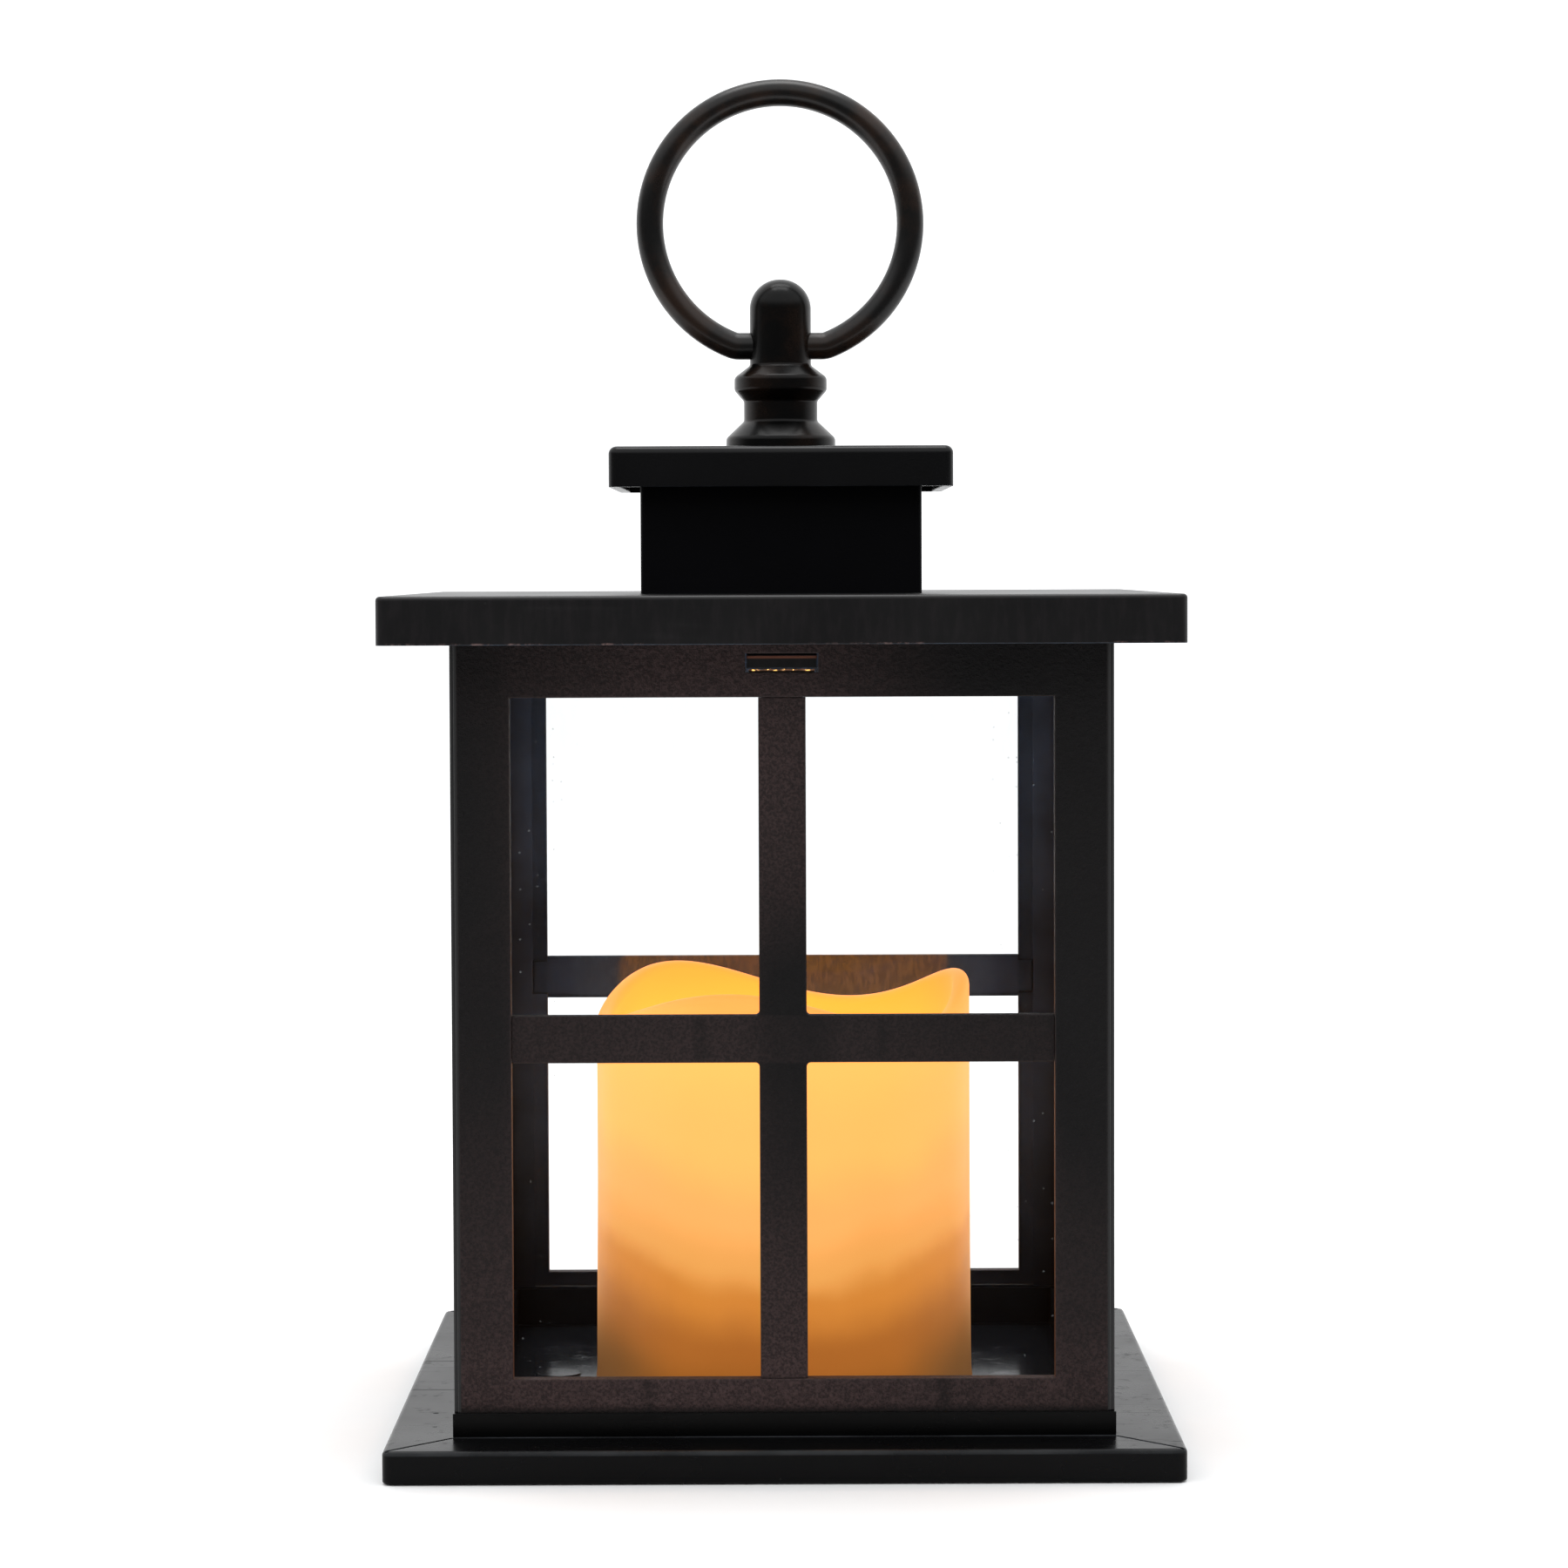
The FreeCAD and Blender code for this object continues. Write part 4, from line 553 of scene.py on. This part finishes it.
def dress_all():
    """Give every CAD node its material."""
    dress([f"{side}_{piece}" for side in SIDES for piece in ("panel", "bars")],
          textured_plastic())
    dress([f"{side}_pane" for side in SIDES], clear_plastic())
    # The shine colours passed to smooth_black are those of painted edge highlights, partly wear.
    dress(["base_tray"],
          smooth_black("base_black", (1, 1, 2), (3, 3, 4), 0.28, 1.19, (96, 100, 106), base_marks))
    dress(["roof"],
          smooth_black("roof_black", (6, 5, 7), (11, 10, 11), 0.40, 1.37, (84, 102, 122), roof_marks))
    dress(["chimney"], smooth_black("chimney_black", (8, 8, 10), (13, 13, 16), 0.40, 1.15))
    dress(["top_cap"], smooth_black("cap_black", (10, 10, 11), (15, 15, 17), 0.24, 1.30))
    dress(["finial"], rubbed_bronze("finial_bronze", (3, 3, 3), (6, 6, 6), 0.24, 1.26, 0.22))
    dress(["carry_ring"], rubbed_bronze("ring_bronze", (4, 4, 4), (9, 8, 8), 0.30, 1.40, 0.42, RING_RUB_AND_SHEEN))
    dress(["bottom_cover", "battery_door"],
          smooth_black("cover_black", (12, 12, 12), (20, 20, 20), 0.55, 1.4, extra=cover_marks))
    dress(["battery_box", "led_holder"],
          moulding("inner_plastic", (214, 208, 192), (228, 222, 208), 0.5))
    dress(["switch_body", "switch_slider"],
          moulding("switch_plastic", (18, 18, 18), (30, 30, 30), 0.45))
    steel = moulding("screw_steel", (150, 150, 152), (186, 186, 188), 0.35, metal=1.0)
    dress([*SCREWS, "finial_washer"], steel)
    dress(["contact_plates", "contact_springs"],
          moulding("contact_steel", (196, 196, 198), (216, 216, 218), 0.2, metal=1.0))
    dress(["battery_1", "battery_2", "battery_3"],
          moulding("cell_wrap", (62, 66, 72), (78, 82, 88), 0.32))
    dress(["led_board"], moulding("board_laminate", (22, 84, 44), (34, 104, 58), 0.38))
    dress(["led"], lamp_lens())


# The candle in millimetres, and its rim's crests and dips as degrees round it and heights.
CANDLE_SPOKES = 288
SIDE_ROWS = 40
FOOT_LEVEL = 5.8
FOOT_ROUND = 0.5
CANDLE_RADIUS = 37.9
FOOT_FLARE = 0.3
SIDE_INSET = 0.15
INSIDE_RADIUS = 35.3
INSIDE_TOP = 67.6
POOL_LEVEL = 72.2
POOL_ROUND = 3.0
HOLLOW_TAPER = 1.6
RIM_HALF = 1.7
RIM_STOPS = ((9, 88.2), (69, 80.0), (131, 88.0), (188, 79.8), (255, 87.2), (318, 79.6))


def rim_height(angle):
    """Height of the melted rim in millimetres, round the candle."""
    places = [RIM_STOPS[-1][0] - 360] + [place for place, _ in RIM_STOPS] + [RIM_STOPS[0][0] + 360]
    heights = [RIM_STOPS[-1][1]] + [height for _, height in RIM_STOPS] + [RIM_STOPS[0][1]]
    places, heights = np.array(places, float), np.array(heights)
    turn = np.degrees(angle)
    index = np.clip(np.searchsorted(places, turn, side="right"), 1, len(places) - 1)
    share = (turn - places[index - 1]) / (places[index] - places[index - 1])
    ease = 0.5 - 0.5 * np.cos(math.pi * share)
    return heights[index - 1] + (heights[index] - heights[index - 1]) * ease


def add_piece(name, points, faces, material, sharp=50):
    """Make a mesh piece that rides on the lantern."""
    mesh = bpy.data.meshes.new(name)
    mesh.from_pydata(points, [], faces)
    mesh.validate()
    mesh.shade_smooth()
    mesh.set_sharp_from_angle(angle=math.radians(sharp))
    mesh.materials.append(material)
    piece = bpy.data.objects.new(name, mesh)
    bpy.context.scene.collection.objects.link(piece)
    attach(piece, "lantern")
    return piece


def candle():
    """The candle shell: flared foot, uneven sides, rolled wavy rim, hollow top and hollow inside."""
    angle = np.linspace(0, 2 * math.pi, CANDLE_SPOKES, endpoint=False)
    rim = rim_height(angle)
    rows = []

    def row(radius, height):
        radius = np.broadcast_to(radius, angle.shape)
        height = np.broadcast_to(height, angle.shape)
        rows.append(np.stack([radius * np.cos(angle), radius * np.sin(angle), height], axis=1))

    side = CANDLE_RADIUS - SIDE_INSET
    foot = CANDLE_RADIUS + FOOT_FLARE
    row(INSIDE_RADIUS, INSIDE_TOP)
    row(INSIDE_RADIUS, FOOT_LEVEL)
    row(foot - 0.4, FOOT_LEVEL)
    row(foot - 0.1, FOOT_LEVEL + 0.12)
    row(foot, FOOT_LEVEL + FOOT_ROUND)
    for step in np.linspace(0.02, 1.0, SIDE_ROWS):
        height = FOOT_LEVEL + FOOT_ROUND + (rim - RIM_HALF - FOOT_LEVEL - FOOT_ROUND) * step
        flare = FOOT_FLARE * np.clip(1 - step * 1.8, 0, 1) ** 1.5
        sag = 0.12 * np.sin(2 * angle + 5 * step) * step + 0.08 * np.sin(5 * angle - 7 * step)
        row(side + flare + sag * 0.7 * (1 - step), height)
    for turn in np.linspace(0.1, 0.9, 9) * math.pi:
        row(side - RIM_HALF + RIM_HALF * math.cos(turn), rim - RIM_HALF + RIM_HALF * math.sin(turn))
    inner = side - 2 * RIM_HALF
    floor = POOL_LEVEL + 0.25 * np.cos(2 * angle + 1)
    for step in np.linspace(0.0, 1.0, 12):
        row(inner - HOLLOW_TAPER * step ** 2, rim - RIM_HALF + (floor + POOL_ROUND - rim + RIM_HALF) * step)
    pool = inner - HOLLOW_TAPER - POOL_ROUND
    for turn in np.linspace(0.15, 1.0, 7) * math.pi / 2:
        row(inner - HOLLOW_TAPER - POOL_ROUND * math.sin(turn), floor + POOL_ROUND * math.cos(turn))
    for share in (0.75, 0.5, 0.25):
        row(pool * share, POOL_LEVEL + (floor - POOL_LEVEL) * share)
    points = np.concatenate(rows + [np.array([[0, 0, POOL_LEVEL]])]) * MM
    middle = len(points) - 1
    faces = []
    for index in range(len(rows) - 1):
        start = index * CANDLE_SPOKES
        for spoke in range(CANDLE_SPOKES):
            beside = (spoke + 1) % CANDLE_SPOKES
            faces.append((start + spoke, start + beside, start + CANDLE_SPOKES + beside,
                          start + CANDLE_SPOKES + spoke))
    top = (len(rows) - 1) * CANDLE_SPOKES
    for spoke in range(CANDLE_SPOKES):
        faces.append((top + spoke, top + (spoke + 1) % CANDLE_SPOKES, middle))
    faces.append(tuple(reversed(range(CANDLE_SPOKES))))
    piece = add_piece("candle", points.tolist(), faces, candle_wax())
    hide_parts("candle_shell")


# A screw's cross recess in shares of the head's radius, and how much narrower it is at its bottom.
CROSS_REACH = 0.56
CROSS_HALF = 0.15
CROSS_DEPTH = 0.42
CROSS_TAPER = 0.62
SCREW_SPOKES = 48


def screws():
    """Screws with a cross recess in the head, in the place of the plain ones."""
    corner = math.degrees(math.atan(CROSS_HALF / CROSS_REACH))
    turns = sorted([step * 360 / SCREW_SPOKES for step in range(SCREW_SPOKES)]
                   + [quarter * 90 + side for quarter in range(4) for side in (corner, 90 - corner)])
    angle = np.radians(turns)
    lean = np.radians((np.array(turns) + 45) % 90 - 45)
    on_end = np.abs(np.tan(lean)) <= CROSS_HALF / CROSS_REACH + 1e-9
    side = CROSS_HALF / np.maximum(np.abs(np.sin(lean)), 1e-6)
    cross = np.where(on_end, CROSS_REACH / np.cos(lean), side)
    count = len(turns)
    for name, (places, outline) in SCREWS.items():
        points, faces = [], []
        head, face = outline[0]
        rows = [(cross * head * CROSS_TAPER, face + CROSS_DEPTH * head), (cross * head, face)]
        rows += [(np.full(count, radius), height) for radius, height in outline]
        for x, y in places:
            first = len(points)
            for radius, height in rows:
                points += [(a * MM, b * MM, height * MM)
                           for a, b in zip(x + radius * np.cos(angle), y + radius * np.sin(angle))]
            points += [(x * MM, y * MM, rows[0][1] * MM), (x * MM, y * MM, rows[-1][1] * MM)]
            last = first + (len(rows) - 1) * count
            for spoke in range(count):
                beside = (spoke + 1) % count
                for start in range(first, last, count):
                    faces.append((start + spoke, start + beside,
                                  start + count + beside, start + count + spoke))
                faces.append((first + beside, first + spoke, last + count))
                faces.append((last + spoke, last + beside, last + count + 1))
        steel = nodes[name].data.materials[0]
        piece = add_piece(f"{name}_detail", points, faces, steel, sharp=30)
        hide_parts(name)


# A pane's lip in millimetres, for the front wall: half its length, its faces' places and its levels.
LIP_HALF = 6.2
LIP_STEPS = 60
LIP_FRONT = -59.35
LIP_BACK = -58.9
LIP_FOOT = 148.9
LIP_TOP = 151.06


def pane_lips():
    """A thin lip with a painted glow on each pane's top edge, behind the roof catch's slot."""
    material = painted_glow_lip()
    for index, name in enumerate(SIDES):
        turn = index * math.pi / 2
        points, faces = [], []
        for step in range(LIP_STEPS + 1):
            x = LIP_HALF * (2 * step / LIP_STEPS - 1)
            top = LIP_TOP + 0.05 * math.sin(2.1 * x + index) + 0.04 * math.sin(5.3 * x)
            for y, z in ((LIP_FRONT, LIP_FOOT), (LIP_FRONT, top - 0.12), (LIP_FRONT + 0.13, top),
                         (LIP_BACK, top), (LIP_BACK, LIP_FOOT)):
                points.append(((x * math.cos(turn) - y * math.sin(turn)) * MM,
                               (x * math.sin(turn) + y * math.cos(turn)) * MM, z * MM))
        for step in range(LIP_STEPS):
            near, far = step * 5, step * 5 + 5
            for corner in range(5):
                beside = (corner + 1) % 5
                faces.append((near + corner, far + corner, far + beside, near + beside))
        faces.append((0, 1, 2, 3, 4))
        last = LIP_STEPS * 5
        faces.append(tuple(last + corner for corner in range(4, -1, -1)))
        add_piece(f"{name}_painted_glow_lip", points, faces, material, sharp=30)


# Strengths of the surroundings' light from overhead, behind and in front, and as the eye sees them.
DOME = 1.30
BACK = 1.20
FRONT = 0.18
SEEN = 1.30


def surround():
    """White all round to the eye. It lights from overhead and from behind, and is dim in front."""
    world = bpy.data.worlds.new("surround")
    bpy.context.scene.world = world
    world.use_nodes = True
    tree = world.node_tree

    def node(kind, inputs, **settings):
        made = tree.nodes.new(kind)
        for key, value in settings.items():
            setattr(made, key, value)
        for index, value in enumerate(inputs):
            if isinstance(value, bpy.types.NodeSocket):
                tree.links.new(value, made.inputs[index])
            else:
                made.inputs[index].default_value = value
        return made.outputs

    way = tree.nodes.new("ShaderNodeTexCoord").outputs["Generated"]
    x, y, z = node("ShaderNodeSeparateXYZ", [way])
    dome = node("ShaderNodeMapRange", [z, 0.15, 0.55, 0.0, DOME], interpolation_type="SMOOTHSTEP")[0]
    back = node("ShaderNodeMapRange", [y, -0.25, 0.45, FRONT, BACK], interpolation_type="SMOOTHSTEP")[0]
    light = node("ShaderNodeMath", [dome, back], operation="MAXIMUM")[0]
    seen = tree.nodes.new("ShaderNodeLightPath").outputs["Is Camera Ray"]
    strength = node("ShaderNodeMapRange", [seen, 0.0, 1.0, light, SEEN])[0]
    sky = tree.nodes["Background"]
    sky.inputs["Color"].default_value = (0.985, 0.992, 1.0, 1.0)
    tree.links.new(strength, sky.inputs["Strength"])


def floor():
    """A pale paper floor, open under the lantern, that doesn't hide the underside from below."""
    half, front, opening, level = 8.0, -0.42, 0.073, -0.0002
    corners = [(-half, front, level), (half, front, level), (half, half, level), (-half, half, level),
               (-opening, -opening, level), (opening, -opening, level), (opening, opening, level),
               (-opening, opening, level)]
    mesh = bpy.data.meshes.new("floor")
    mesh.from_pydata(corners, [], [(0, 1, 5, 4), (1, 2, 6, 5), (2, 3, 7, 6), (3, 0, 4, 7)])
    s = Shader("floor_paper")
    paper = s.add("ShaderNodeBsdfDiffuse")
    fibres = s.noise(0.03, 3.0, 0.6)
    s.feed(paper.inputs["Color"], s.mix(fibres, linear(246, 246, 246), linear(250, 250, 250)))
    sheet = s.blend(s.geometry.outputs["Backfacing"], paper, s.add("ShaderNodeBsdfTransparent"))
    s.feed(s.output.inputs["Surface"], sheet.outputs[0])
    mesh.materials.append(s.material)
    piece = bpy.data.objects.new("floor", mesh)
    bpy.context.scene.collection.objects.link(piece)


def softbox():
    """A soft lamp overhead, a little behind the lantern."""
    lamp = bpy.data.lights.new("softbox", "AREA")
    lamp.shape = "RECTANGLE"
    lamp.size = 0.9
    lamp.size_y = 0.6
    lamp.energy = 8.0
    box = bpy.data.objects.new("softbox", lamp)
    box.location = (0.0, 0.1, 1.4)
    bpy.context.scene.collection.objects.link(box)


CAMERA_PLACE = (0.00006, -0.85168, 0.17045)
CAMERA_DIP = 2.4
CAMERA_TURN = -0.222


def camera():
    """The photograph's view: nearly level, a little above the roof's level, dipped and turned slightly."""
    lens = bpy.data.cameras.new("view")
    lens.sensor_width = 36.0
    lens.lens = 96.736
    lens.shift_x = 0.0011
    lens.shift_y = -0.0264
    lens.clip_start = 0.01
    view = bpy.data.objects.new("view", lens)
    view.location = CAMERA_PLACE
    view.rotation_mode = "ZYX"
    view.rotation_euler = (math.radians(90 - CAMERA_DIP), 0.0, math.radians(CAMERA_TURN))
    bpy.context.scene.collection.objects.link(view)
    bpy.context.scene.camera = view


dress_all()
candle()
screws()
pane_lips()
surround()
floor()
softbox()
camera()
bpy.context.scene.view_settings.view_transform = "Standard"
